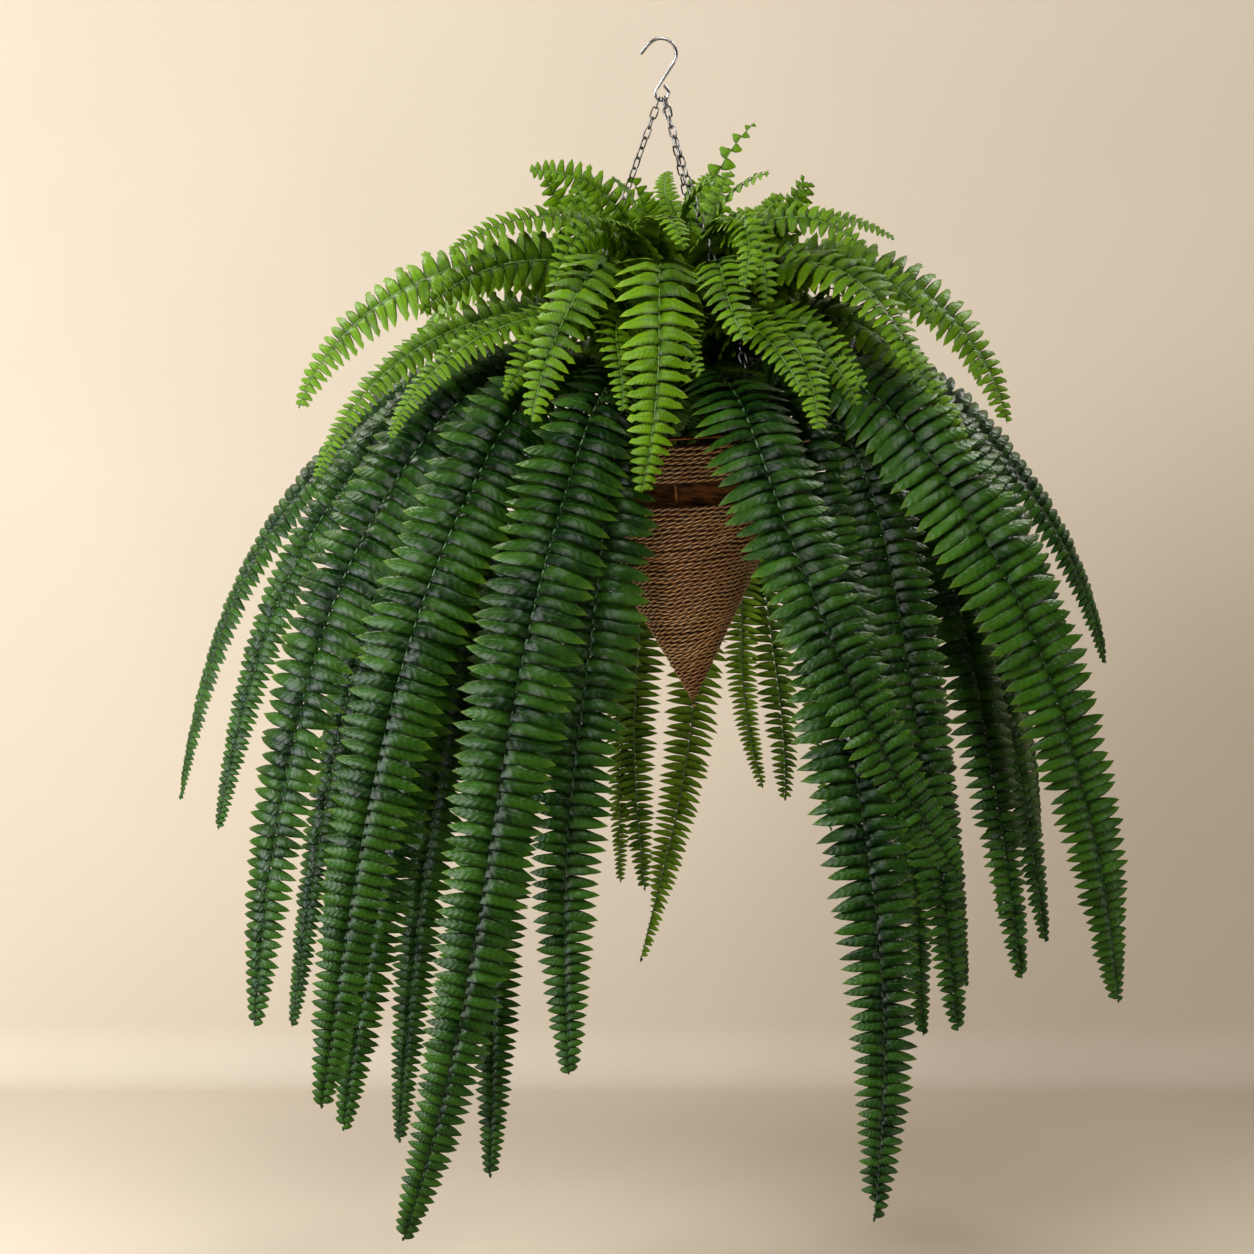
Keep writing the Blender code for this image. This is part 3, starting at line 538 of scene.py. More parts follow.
def build_leaf(tree, given):
    """A leaflet's pattern from its place along and across, and from the frond's growth values: red is the
    share of the way to the frond's tip, green differs by leaflet and blue by frond."""
    along, across, _ = split(tree, places(tree, "UV"))
    edge = sums(tree, "ABSOLUTE", added(tree, -1.0, (across, 2.0)))
    share, tint, tone = grown(tree)
    slanted = sums(tree, "SUBTRACT", along, times(tree, edge, 0.12))
    wave = sums(tree, "COSINE", times(tree, slanted, given["Veins"], math.tau))
    midrib = between(tree, edge, 0.03, 0.14, 1.0, 0.0)
    cloud = grain(tree, places(tree), 0.018)
    fine = grain(tree, places(tree), 0.0035, 2.0)
    rim = times(tree, between(tree, edge, 0.78, 1.0), between(tree, along, 0.3, 0.9))
    # Painted shade: dark slits where leaflets overlap near the rib, and a darker foot beside the rib.
    slit_shade = times(tree, between(tree, edge, 0.55, 1.0), between(tree, along, 0.35, 0.85, 1.0, 0.0))
    foot = between(tree, along, 0.0, 0.16, 0.5, 0.0)
    painted_shade = times(tree, sums(tree, "MAXIMUM", slit_shade, foot), given["Shade"])
    # Lighter away from the leaflet's foot: painted shade by the rib.
    outwards = between(tree, along, 0.0, 0.6)
    # Lightness rises along the frond: partly the lighter growth towards its tip, partly painted shade near
    # the crown.
    lightness = added(
        tree, -0.82, (tint, 0.5), (share, given["Ageing"]), (tone, 0.55), (cloud, 0.8), (rim, 0.24),
        (outwards, 0.20), (wave, 0.05), clamp=True,
    )
    colour = blended(tree, lightness, given["Deep"], given["Light"])
    colour = blended(tree, times(tree, midrib, 0.35), colour, given["Rib"])
    ends = times(tree, between(tree, along, 0.72, 1.0), added(tree, 0.15, (tint, 0.5)))
    colour = blended(tree, ends, colour, given["Tip"])
    # The painted shade of the slits and feet, mixed towards near black.
    colour = blended(tree, painted_shade, colour, (0.0004, 0.0022, 0.0001))
    veins = times(tree, sums(tree, "SUBTRACT", 1.0, midrib), wave, 0.3)
    height = added(tree, veins, (midrib, -0.5), (cloud, 3.2), (fine, 0.35))
    gloss = added(tree, given["Gloss"], (cloud, 0.22), (fine, 0.12))
    return {"Colour": colour, "Roughness": gloss, "Height": height}


COLOUR, NUMBER, VECTOR = "NodeSocketColor", "NodeSocketFloat", "NodeSocketVector"
BLACK = (0, 0, 0)
leaf_surface = group(
    "leaf_surface",
    {title: (COLOUR, BLACK) for title in ("Deep", "Light", "Rib", "Tip")}
    | {"Veins": (NUMBER, 7.0), "Ageing": (NUMBER, 0.4), "Gloss": (NUMBER, 0.2), "Shade": (NUMBER, 0.5)},
    {"Colour": COLOUR, "Roughness": NUMBER, "Height": NUMBER},
    build_leaf,
)


def build_fibre(tree, given):
    """Streaks of two colours from a noise, which the pattern's place draws out long."""
    streaks = grain(tree, given["Where"], 1.0)
    colour = blended(tree, between(tree, streaks, 0.3, 0.72), given["Dark"], given["Pale"])
    return {"Colour": colour, "Height": streaks}


fibre_streaks = group(
    "fibre_streaks",
    {"Where": (VECTOR, BLACK), "Dark": (COLOUR, BLACK), "Pale": (COLOUR, (1, 1, 1))},
    {"Colour": COLOUR, "Height": NUMBER},
    build_fibre,
)


def leaf_material(name, relief, coat, **values):
    """A leaflet's material, with the leaf surface's own values for it."""
    made, tree, shader = material(name, Coat_Weight=coat, Coat_Roughness=0.18, Specular_IOR_Level=0.13)
    shown = placed(tree, leaf_surface, **values)
    dressed(tree, shader, shown["Colour"], shown["Roughness"], shown["Height"], relief)
    return made


mature_top = leaf_material(
    "mature_leaflet", 0.0004, 0.05, Deep=(0.0018, 0.0130, 0.0008), Light=(0.031, 0.096, 0.005),
    Rib=(0.02, 0.07, 0.006), Tip=(0.085, 0.15, 0.005), Gloss=0.20, Veins=7.0, Ageing=0.42, Shade=0.85,
)
# The undersides are lighter than the tops: partly their own paler colour, partly painted light that shines
# through the thin leaflets.
mature_under = leaf_material(
    "mature_underside", 0.0003, 0.0, Deep=(0.026, 0.068, 0.002), Light=(0.120, 0.225, 0.007),
    Rib=(0.06, 0.12, 0.006), Tip=(0.15, 0.24, 0.010), Gloss=0.42, Veins=7.0, Ageing=0.3, Shade=0.5,
)
young_top = leaf_material(
    "young_leaflet", 0.0003, 0.03, Deep=(0.0026, 0.020, 0.0003), Light=(0.096, 0.198, 0.0010),
    Rib=(0.030, 0.09, 0.002), Tip=(0.22, 0.32, 0.006), Gloss=0.26, Veins=8.0, Ageing=0.85, Shade=0.8,
)
young_under = leaf_material(
    "young_underside", 0.0002, 0.0, Deep=(0.012, 0.042, 0.001), Light=(0.105, 0.20, 0.004),
    Rib=(0.08, 0.16, 0.008), Tip=(0.17, 0.26, 0.010), Gloss=0.45, Veins=8.0, Ageing=0.6, Shade=0.4,
)


def stalk_material(name, foot, end):
    """A rib that is brown where it leaves the soil and green beyond, with darker blotches."""
    made, tree, shader = material(name)
    share = grown(tree)[0]
    cloud = grain(tree, places(tree), 0.008)
    green = blended(tree, between(tree, share, 0.03, 0.35), foot, end)
    dark = blended(tree, 0.4, green, (0.01, 0.02, 0.005))
    fine = grain(tree, places(tree), 0.0012)
    dressed(tree, shader, blended(tree, cloud, dark, green), added(tree, 0.25, (cloud, 0.3)), fine, 0.0002)
    return made


def steel_material(name, dull, bright):
    """Galvanised wire, drawn and a little dulled in patches."""
    made, tree, shader = material(name, Metallic=1.0)
    blotch = grain(tree, places(tree), 0.012)
    drawn = grain(tree, places(tree), 0.0011, 2.0)
    tone = blended(tree, between(tree, blotch, 0.35, 0.7), dull, bright)
    dressed(tree, shader, tone, added(tree, 0.14, (blotch, 0.28)), drawn, 0.00003)
    return made


def rope_material():
    """Twisted strands of plant fibre. Along the pattern one unit is one strand, and growth's red is how
    deep a point lies between the strands."""
    made, tree, shader = material("twisted_rope", Specular_IOR_Level=0.25)
    depth, turn, _ = grown(tree)
    across, around, _ = split(tree, places(tree, "UV"))
    lay = tree.nodes.new("ShaderNodeCombineXYZ")
    feed(tree, lay.inputs[0], times(tree, across, 0.35))
    feed(tree, lay.inputs[1], added(tree, times(tree, around, 16.0), (across, 2.4)))
    feed(tree, lay.inputs[2], times(tree, turn, 40.0))
    dark, pale = (0.50, 0.18, 0.022), (1.0, 0.70, 0.36)
    shown = placed(tree, fibre_streaks, Where=lay.outputs[0], Dark=dark, Pale=pale)
    patches = between(tree, grain(tree, places(tree), 0.03), 0.35, 0.65)
    warm = blended(tree, patches, shown["Colour"], (0.50, 0.20, 0.045))
    colour = blended(tree, 0.35, shown["Colour"], warm)
    # Painted shade: darker between the strands and on the rope's flanks.
    groove_shade = times(tree, between(tree, depth, 0.10, 0.66), 0.97)
    colour = blended(tree, groove_shade, colour, (0.016, 0.0035, 0.0003))
    dressed(tree, shader, colour, added(tree, 0.38, (shown["Height"], 0.3)), shown["Height"], 0.0004)
    return made


def liner_material():
    """Matted coconut fibre."""
    made, tree, shader = material("coconut_fibre", Specular_IOR_Level=0.15)
    where = tree.nodes.new("ShaderNodeMapping")
    where.inputs["Rotation"].default_value = (0.1, 0.45, 0.3)
    where.inputs["Scale"].default_value = (45, 45, 190)
    feed(tree, where.inputs["Vector"], places(tree))
    # These colours are darker than the fibre's own: partly the coir's brown, partly painted shade for the
    # recess behind the rope.
    dark, pale = (0.006, 0.0018, 0.0003), (0.11, 0.040, 0.004)
    shown = placed(tree, fibre_streaks, Where=where.outputs[0], Dark=dark, Pale=pale)
    dressed(tree, shader, shown["Colour"], added(tree, 0.7, (shown["Height"], 0.25)), shown["Height"], 0.0012)
    return made


def soil_material():
    """Damp potting soil with lighter bits of bark."""
    made, tree, shader = material("potting_soil")
    crumbs = grain(tree, places(tree), 0.004, 6.0, 0.7)
    bits = grain(tree, places(tree), 0.0065, 2.0)
    dark = blended(tree, between(tree, crumbs, 0.35, 0.7), (0.008, 0.005, 0.003), (0.075, 0.045, 0.026))
    colour = blended(tree, between(tree, bits, 0.66, 0.7), dark, (0.17, 0.10, 0.05))
    dressed(tree, shader, colour, added(tree, 0.65, (crumbs, 0.3)), crumbs, 0.002)
    return made


mature_stalk = stalk_material("mature_rib", (0.035, 0.022, 0.008), (0.030, 0.10, 0.018))
young_stalk = stalk_material("young_rib", (0.03, 0.04, 0.008), (0.085, 0.19, 0.008))
steel = steel_material("galvanised_steel", (0.24, 0.24, 0.245), (0.52, 0.52, 0.53))
chain_steel = steel_material("dark_galvanised_steel", (0.06, 0.058, 0.056), (0.25, 0.245, 0.24))
# The frame's wire is rust brown, and darker still as painted shade for where it sits inside the basket.
rust_and_shade_steel = steel_material("rusted_shaded_wire", (0.09, 0.035, 0.010), (0.20, 0.085, 0.028))
rope = rope_material()
fibre = liner_material()
earth = soil_material()


def hook_path():
    """The middle of the hook's wire: a leg and an arc of the crook, a straight shank, and the eye's arc."""
    crook = np.array([0, 0, HOOK_WIRE / 2 - CROOK_RADIUS])
    apart = EYE_CENTRE - crook
    leaves = math.atan2(apart[2], apart[0]) + math.acos((CROOK_RADIUS + EYE_RADIUS) / np.linalg.norm(apart))

    def arc(centre, radius, start, end, count):
        turn = np.linspace(start, end, count)
        return centre + radius * np.stack([np.cos(turn), 0 * turn, np.sin(turn)], 1)

    opening = np.array([-math.sin(CROOK_OPENS_AT), 0, math.cos(CROOK_OPENS_AT)])
    bow = arc(crook, CROOK_RADIUS, CROOK_OPENS_AT, leaves, 56)
    ring = arc(EYE_CENTRE, EYE_RADIUS, leaves + math.pi, EYE_ENDS_AT, 44)
    closing = np.array([-math.sin(EYE_ENDS_AT), 0, math.cos(EYE_ENDS_AT)])
    run = np.linspace(0, 1, 10)[:, None]
    leg = bow[0] + opening * CROOK_LEG * (1 - run)
    shank = bow[-1] + (ring[0] - bow[-1]) * run
    tail = ring[-1] + closing * EYE_LEG * run
    return np.vstack([leg[:-1], bow, shank[1:-1], ring, tail[1:]])


DRAWN_IN = [0.66, 0.93]  # the wire's thickness at a cut end and a step in from it
END_STEP = 0.35


def rounded(path, radius, side_hint, corners):
    """A wire whose cut ends are drawn in a little, over two steps of a share of its radius."""
    along, _, _ = along_path(path, np.asarray(side_hint, float))
    step = END_STEP * radius
    path = np.vstack([
        path[0], path[0] + along[0] * step, path[0] + along[0] * 2 * step, path[1:-1],
        path[-1] - along[-1] * 2 * step, path[-1] - along[-1] * step, path[-1],
    ])
    _, side, up = along_path(path, np.asarray(side_hint, float))
    scale = np.concatenate([DRAWN_IN, np.ones(len(path) - 4), DRAWN_IN[::-1]])
    return carried(path, side, up, circle(radius, corners)[None] * scale[:, None, None])


def link_ring(length, wire_radius):
    """One oval link round the origin, in the plane of x and z: two half circles joined by straight sides."""
    half = length / 2 - LINK_HALF_WIDTH
    turn = np.linspace(0, math.tau, 20, endpoint=False)
    path = np.stack([np.cos(turn), 0 * turn, np.sin(turn)], 1) * LINK_HALF_WIDTH
    path[:, 2] += np.sign(np.round(np.sin(turn), 6)) * half
    _, side, up = along_path(path, np.array([0.0, 1.0, 0.0]), closed=True)
    return carried(path, side, up, circle(wire_radius, 8), closed=True)


def chain_ends(side):
    """Where a chain bears on the eye's wire, and the rim ring's middle below it, before the basket leans."""
    seat = math.radians(EYE_SEATS[side])
    top = np.array([math.sin(seat), 0, -math.cos(seat)]) * (EYE_RADIUS - HOOK_WIRE / 2)
    ring = outward(CHAIN_AZIMUTHS[side]) * wall_radius(0, FRAME_INWARDS) - np.array([0, 0, RIM_DROP])
    return top, ring


def chain(side):
    """Links from the eye to the rim ring along one straight line, each a quarter turn from the one before."""
    seat = math.radians(EYE_SEATS[side])
    top, ring = chain_ends(side)
    foot = ring + unit(ring - top) * RIM_WIRE / 2
    down, length = unit(foot - top), np.linalg.norm(foot - top)
    pitch = (length + CLEARANCE * 2) / LINKS
    eye_wire = np.array([math.cos(seat), 0, math.sin(seat)])
    first = unit(eye_wire - down * (eye_wire @ down))
    last = outward(CHAIN_AZIMUTHS[side] + 90)
    last = unit(last - down * (last @ down))
    turned_by = math.atan2(np.cross(first, last) @ down, first @ last)
    step = math.pi / 2 + (turned_by % math.pi - math.pi / 2) / (LINKS - 1)
    one = link_ring(pitch + LINK_WIRE, LINK_WIRE / 2)
    across = np.cross(down, first)
    links = []
    for i in range(LINKS):
        angle = step * i + LINK_TURN * min(1, i / END_LINKS, (LINKS - 1 - i) / END_LINKS)
        normal = first * math.cos(angle) + across * math.sin(angle)
        wide = np.cross(normal, down)
        middle = top + down * (pitch * (i + 0.5) - CLEARANCE)
        links.append(one._replace(points=about_eye(one.points @ np.stack([wide, normal, -down]) + middle)))
    return links


def basket_frame():
    """The rim ring, and straight ribs that run down under the rope."""
    turn = np.linspace(0, math.tau, 96, endpoint=False)
    ring = np.stack([np.cos(turn), np.sin(turn), 0 * turn], 1) * wall_radius(0, FRAME_INWARDS)
    parts = [wire(ring, RIM_WIRE / 2, (0, 0, 1), 12, closed=True)]
    for azimuth in FIRST_RIB + 360 / RIB_COUNT * np.arange(RIB_COUNT):
        heights = np.linspace(0, RIB_FOOT, 12)
        path = outward(azimuth) * wall_radius(heights, FRAME_INWARDS)[:, None]
        path[:, 2] = heights
        parts.append(wire(path, RIB_WIRE / 2, outward(azimuth + 90), 10))
    return [p._replace(points=about_rim(p.points)) for p in parts]


ROPE_RADIUS = 2.3 * MM
ROPE_LOBE = 0.26  # share of its radius by which a strand stands out, and sinks between two
TWIST = 26 * MM  # length of one full twist of the three strands
STRANDS = 3
ROPE_CORNERS = np.radians([90, 122, 154, 190, 350, 26, 58])  # of its section, the fewest of them inside
ROPE_STEP = 1.7 * MM
ROPE_STARTS_AT = 1.1  # its azimuth at the top of a winding, in radians
PITCH_HIGH, PITCH_LOW = 5.3 * MM, 4.2 * MM  # from one turn to the next, at the rim and at the cone's point
SLANT = math.cos(WALL_TURN)


def even_steps(route, count):
    """A route taken again in even steps, how far along it each lies, and how far each of its own points."""
    run = np.concatenate([[0], np.cumsum(np.linalg.norm(np.diff(route, axis=0), axis=1))])
    even = np.linspace(0, run[-1], count(run[-1]))
    return np.stack([np.interp(even, run, column) for column in route.T], 1), even, run


def wound_rope(top, foot, to_point, rng):
    """Rope wound down the cone: its middle runs round at a slant distance that falls by one pitch a turn,
    and slips along the slope by random waves. Its profile is three lobes that turn with the twist, so each
    point's radius is the mean plus a share of the cosine of three times its angle from the first strand."""
    high, low = (top + BASKET_DEPTH) / SLANT, (foot + BASKET_DEPTH) / SLANT
    slope = (PITCH_HIGH - PITCH_LOW) / (RIM_RADIUS / math.sin(WALL_TURN))
    reach = PITCH_LOW / slope
    turns = np.linspace(0, math.log((high + reach) / (low + reach)) / slope, 60000)
    slant = (high + reach) * np.exp(-slope * turns) - reach
    azimuth = math.tau * turns + ROPE_STARTS_AT
    straight = np.stack([slant * 0.5 * np.cos(azimuth), slant * 0.5 * np.sin(azimuth), slant], 1)
    sag = waves(straight, rng, 50 * MM) * 1.3 * MM
    sag += waves(np.stack([turns * 0.9, 0 * turns, 0 * turns], 1), rng, 1.0) * 0.3 * MM
    height = slant + sag * ease((slant - low) / (20 * MM)) * ease((high - slant) / (12 * MM))
    if to_point:
        tilted = 5 * MM * np.cos(azimuth)
        height += tilted * ease((slant - low) / (50 * MM)) * ease((high - slant) / (40 * MM))
    height = height * SLANT - BASKET_DEPTH
    radius = np.clip(wall_radius(height, ROPE_THICKNESS / 2), 0.4 * MM, None)
    route = np.stack([radius * np.cos(azimuth), radius * np.sin(azimuth), height], 1)
    path, even, run = even_steps(route, lambda length: int(length / ROPE_STEP))
    turn_number = (np.interp(even, run, turns) % 97) / 97
    if to_point:
        path = np.vstack([path, [[0, 0, path[-1, 2] - 1.2 * MM], [0, 0, foot]]])
        even = np.append(even, even[-1] + ROPE_STEP * np.array([1, 2]))
        turn_number = np.append(turn_number, [turn_number[-1]] * 2)
    away = path * [1, 1, 0] + [1e-6, 0, 0]
    normal = unit(away) * math.cos(WALL_TURN) - np.array([0, 0, math.sin(WALL_TURN)])
    along, up, _ = along_path(path, normal)
    lobes = np.cos(STRANDS * (ROPE_CORNERS + math.tau * even[:, None] / TWIST))
    size = ROPE_RADIUS * (1 - ROPE_LOBE + ROPE_LOBE * lobes)
    profile = np.stack([size * np.cos(ROPE_CORNERS), size * np.sin(ROPE_CORNERS)], -1)
    made = carried(path, np.cross(up, along), up, profile, uv_scale=(even[-1] / TWIST * STRANDS, 1))
    # How much painted shade each point gets: deep between the strands, and on the flanks that face the next
    # turns and the wall.
    flank = 1 - np.clip(np.sin(ROPE_CORNERS), 0, 1)
    groove = np.clip(np.clip(0.5 - 0.5 * lobes, 0, 1) * 0.75 + flank**1.5 * 0.85, 0, 1)
    turn_number = np.repeat(turn_number, len(ROPE_CORNERS))
    growth = np.column_stack([groove.ravel(), turn_number, rng.uniform(0, 1, groove.size)])
    growth = np.vstack([growth, growth[:1], growth[-1:]])
    return made._replace(points=about_rim(made.points), growth=growth)


LINER_CORNERS = 160
LOOSE_FIBRES = 260
GAP_TOP, GAP_FOOT = -38 * MM, -74 * MM  # between these heights the rope leaves the liner bare


def liner_parts(rng):
    """The fibre liner: a cone with a flat foot, open above, its faces raised and sunk by random waves, and
    loose fibres that lie over it where the rope leaves a gap."""
    outer, inner = LINER_INWARDS, LINER_INWARDS + LINER_THICKNESS
    floor = LINER_FOOT + LINER_THICKNESS
    down = np.concatenate([np.linspace(LINER_TOP, GAP_TOP, 9), np.linspace(-39 * MM, -72 * MM, 22),
                           np.linspace(-78 * MM, LINER_FOOT, 14)])
    climb = np.linspace(floor, LINER_TOP, 26)
    profile = [(0, floor)] + [(wall_radius(z, inner), z) for z in climb]
    profile += [(wall_radius(z, outer), z) for z in down] + [(0, LINER_FOOT)]
    cup = turned(profile, LINER_CORNERS)
    points = cup.points.copy()
    away = unit(points * [1, 1, 0] + [1e-9, 0, 0])
    inside = (np.arange(len(points)) // LINER_CORNERS < len(climb))[:, None]
    height = waves(points * [1, 1, 1.6], rng, 14 * MM) * 0.5 + waves(points * [1, 1, 2.5], rng, 5 * MM) * 0.35
    points[:, :2] += (away * (height[:, None] - 0.6) * MM * np.where(inside, -0.6, 0.8))[:, :2]
    parts = [cup._replace(points=about_rim(points))]
    run = np.linspace(0, 1, 12)
    for _ in range(LOOSE_FIBRES):
        azimuth = rng.uniform(0, math.tau) + rng.uniform(0.12, 0.5) * rng.choice([-1, 1]) * run
        climb = rng.uniform(-12, 14) * run + 2 * np.sin(run * rng.uniform(2, 7))
        heights = np.clip(rng.uniform(GAP_FOOT / MM, GAP_TOP / MM) + climb, -76, -36) * MM
        lift = rng.uniform(0.3, 3.4) * MM * np.sin(math.pi * run) ** 0.6 + 0.1 * MM
        radius = wall_radius(heights, outer - lift)
        path = np.stack([radius * np.cos(azimuth), radius * np.sin(azimuth), heights], 1)
        strand = wire(path, rng.uniform(0.16, 0.45) * MM, (0, 0, 1.0), 4)
        parts.append(strand._replace(points=about_rim(strand.points)))
    return parts


def soil_parts(rng):
    """Soil that fills the liner: a flat cone above, with its top heaped and pitted by random waves."""
    inwards = LINER_INWARDS + LINER_THICKNESS + CLEARANCE
    edge = wall_radius(SOIL_TOP, inwards)
    radii = np.linspace(0, 1, 46)
    top = [(edge * r, SOIL_TOP + SOIL_CROWN * (1 - r)) for r in radii]
    walls = [(wall_radius(z, inwards), z) for z in np.linspace(SOIL_TOP, SOIL_FOOT, 12)[1:]]
    heap = turned(top + walls + [(0, SOIL_FOOT)], 120)
    points = heap.points.copy()
    spread = np.linalg.norm(points[:, :2], axis=1)
    crumb = waves(points, rng, 9 * MM) * 1.1 + waves(points, rng, 24 * MM) * 1.2
    on_top = (points[:, 2] >= SOIL_TOP - 1e-6) * ease((edge - spread) / (8 * MM))
    points[:, 2] += crumb * MM * on_top
    return [heap._replace(points=about_rim(points))]


LINE_STEP = 4 * MM


def smooth_line(points):
    """A Catmull-Rom curve through the points, as closely and evenly spaced points along it."""
    ends = [2 * points[0] - points[1], 2 * points[-1] - points[-2]]
    held = np.vstack([ends[0], points, ends[1]])
    a, b, c, d = held[:-3, None], held[1:-2, None], held[2:-1, None], held[3:, None]
    t = np.linspace(0, 1, 24, endpoint=False)[None, :, None]
    dense = 0.5 * (2 * b + (c - a) * t + (2 * a - 5 * b + 4 * c - d) * t**2 + (3 * b - a - 3 * c + d) * t**3)
    dense = np.vstack([dense.reshape(-1, 2), points[-1:]])
    return even_steps(dense, lambda length: int(length / LINE_STEP) + 1)[0]


def rib_route(frond):
    """Points of a frond's rib from root to tip: its line, turned to the frond's azimuth."""
    flat = smooth_line(np.array(LINES_MM[frond.line], float) * MM)
    radius, height = flat[:, 0], flat[:, 1]
    radius = radius + (frond.reach - 1) * np.clip(radius - SHOULDER, 0, None)
    along = np.concatenate([[0], np.cumsum(np.hypot(np.diff(radius), np.diff(height)))])
    share = np.clip(along / (frond.length * MM), 0, 1)
    turn = np.radians(frond.azimuth + frond.sway * share**2)
    points = np.stack([radius * np.cos(turn), radius * np.sin(turn), height], axis=1)
    run = np.concatenate([[0], np.cumsum(np.linalg.norm(np.diff(points, axis=0), axis=1))])
    keep = np.linspace(0, min(frond.length * MM, run[-1]), 400)
    return np.stack([np.interp(keep, run, points[:, k]) for k in range(3)], axis=1)


def layer(frond):
    """The layer that a frond hangs in, which it shares with the fronds beside it."""
    return LAYERS.get(frond.line, frond.line)


def half_width_at(frond, share):
    """The leaflets' length at a share of the way from root to tip: full by a third, fine at the tip."""
    opening = np.clip((share - frond.bare) / 0.2, 0, 1)
    closing = np.clip((1 - share) / 0.5, 0, 1)
    return frond.half_width * MM * (0.25 + 0.75 * opening**0.8) * (0.10 + 0.90 * closing**0.6)


def chain_lines():
    """The chains' ends in the upright frame of the plant."""
    for side in CHAIN_AZIMUTHS:
        yield tuple(about_eye(end) - PLANT for end in chain_ends(side))


WIDEST_TURN = 85  # degrees either side of a frond that has no neighbour


def room_beside(frond, others, start, points, sides, crossing):
    """How far each leaflet may reach: up to the middle between its frond and the next, times the crossing
    that its habit allows, and clear of the chains."""
    ahead = outward(frond.azimuth)
    across = outward(frond.azimuth + 90) * sides[:, None]
    radius = (points - start) @ ahead
    room = np.full(len(points), 10.0)
    for side in (1, -1):
        kin = [other for other in others if other.name != frond.name]
        gap = min((((other.azimuth - frond.azimuth) * side) % 360 for other in kin), default=360)
        half = math.radians(min(gap / 2, WIDEST_TURN))
        room = np.where(sides == side, radius * math.tan(half) * crossing, room)
    for top, foot in chain_lines():
        at = (foot[2] - points[:, 2]) / (foot[2] - top[2])
        chain_at = foot + (top - foot) * at[:, None] - points
        aside = (chain_at * across).sum(-1)
        near = (at >= 0) & (at <= 1) & (abs(chain_at @ ahead) < CHAIN_REACH) & (aside > 0)
        room = np.where(near, np.minimum(room, aside - CHAIN_ROOM), room)
    return np.maximum(room, RIB_HALF_WIDTH + CLEARANCE)


SECTION = np.array([0, 0.86, 0.72, 0.86, 0])  # a cupped leaflet's height across, with a groove at its rib
THICKNESS = 0.45 * MM
ARCHED = 0.15 * MM  # by which a leaflet's middle stands over its edges at least


def leaflet_faces():
    """Corner numbers of one leaflet: its top over a grid, closed by a point at its tip, its flat underside
    between the same edges, and its foot, round one point below the rib."""
    rows, columns = len(ROWS), len(COLUMNS)
    tip, below = rows * columns, rows * columns + 1
    i, j = np.meshgrid(np.arange(rows - 1), np.arange(columns - 1), indexing="ij")
    at = (i * columns + j).ravel()
    top = np.stack([at, at + columns, at + columns + 1, at + 1], 1)
    left = np.arange(1, rows - 1) * columns
    right = left + columns - 1
    under = np.stack([left, right, right + columns, left + columns], 1)
    end, j = (rows - 1) * columns, np.arange(columns - 1)
    top_tris = np.stack([end + j, np.full(len(j), tip), end + j + 1], 1)
    foot_tris = np.stack([j, j + 1, np.full(len(j), below)], 1)
    left, right = columns, 2 * columns - 1
    under_tris = np.array([
        [end, end + columns - 1, tip], [0, below, left], [below, right, left], [below, columns - 1, right],
    ])
    return top, under, top_tris, np.vstack([under_tris, foot_tris])


LEAFLET_FACES = leaflet_faces()


def outline(habit, share, rng):
    """Half widths of leaflets at each row for both edges, as shares of the widest. The edge nearer to the
    frond's tip is the fuller one. A tooth stands out near the tip of some."""
    count = len(share)
    late = ease((share - 0.35) / 0.4)[:, None, None]
    high, hanging = habit.shapes
    body = (high + (hanging - high) * late) * np.array([[0.93], [1.07]])
    tooth = np.exp(-(((ROWS - 0.82) / 0.08) ** 2)) - 0.55 * np.exp(-(((ROWS - 0.67) / 0.08) ** 2))
    worn = rng.normal(0, 0.035, (count, 2, len(ROWS)))
    size = habit.tooth * rng.uniform(-0.35, 1, (count, 2, 1)).clip(0)
    return body * (1 + worn) + tooth * size


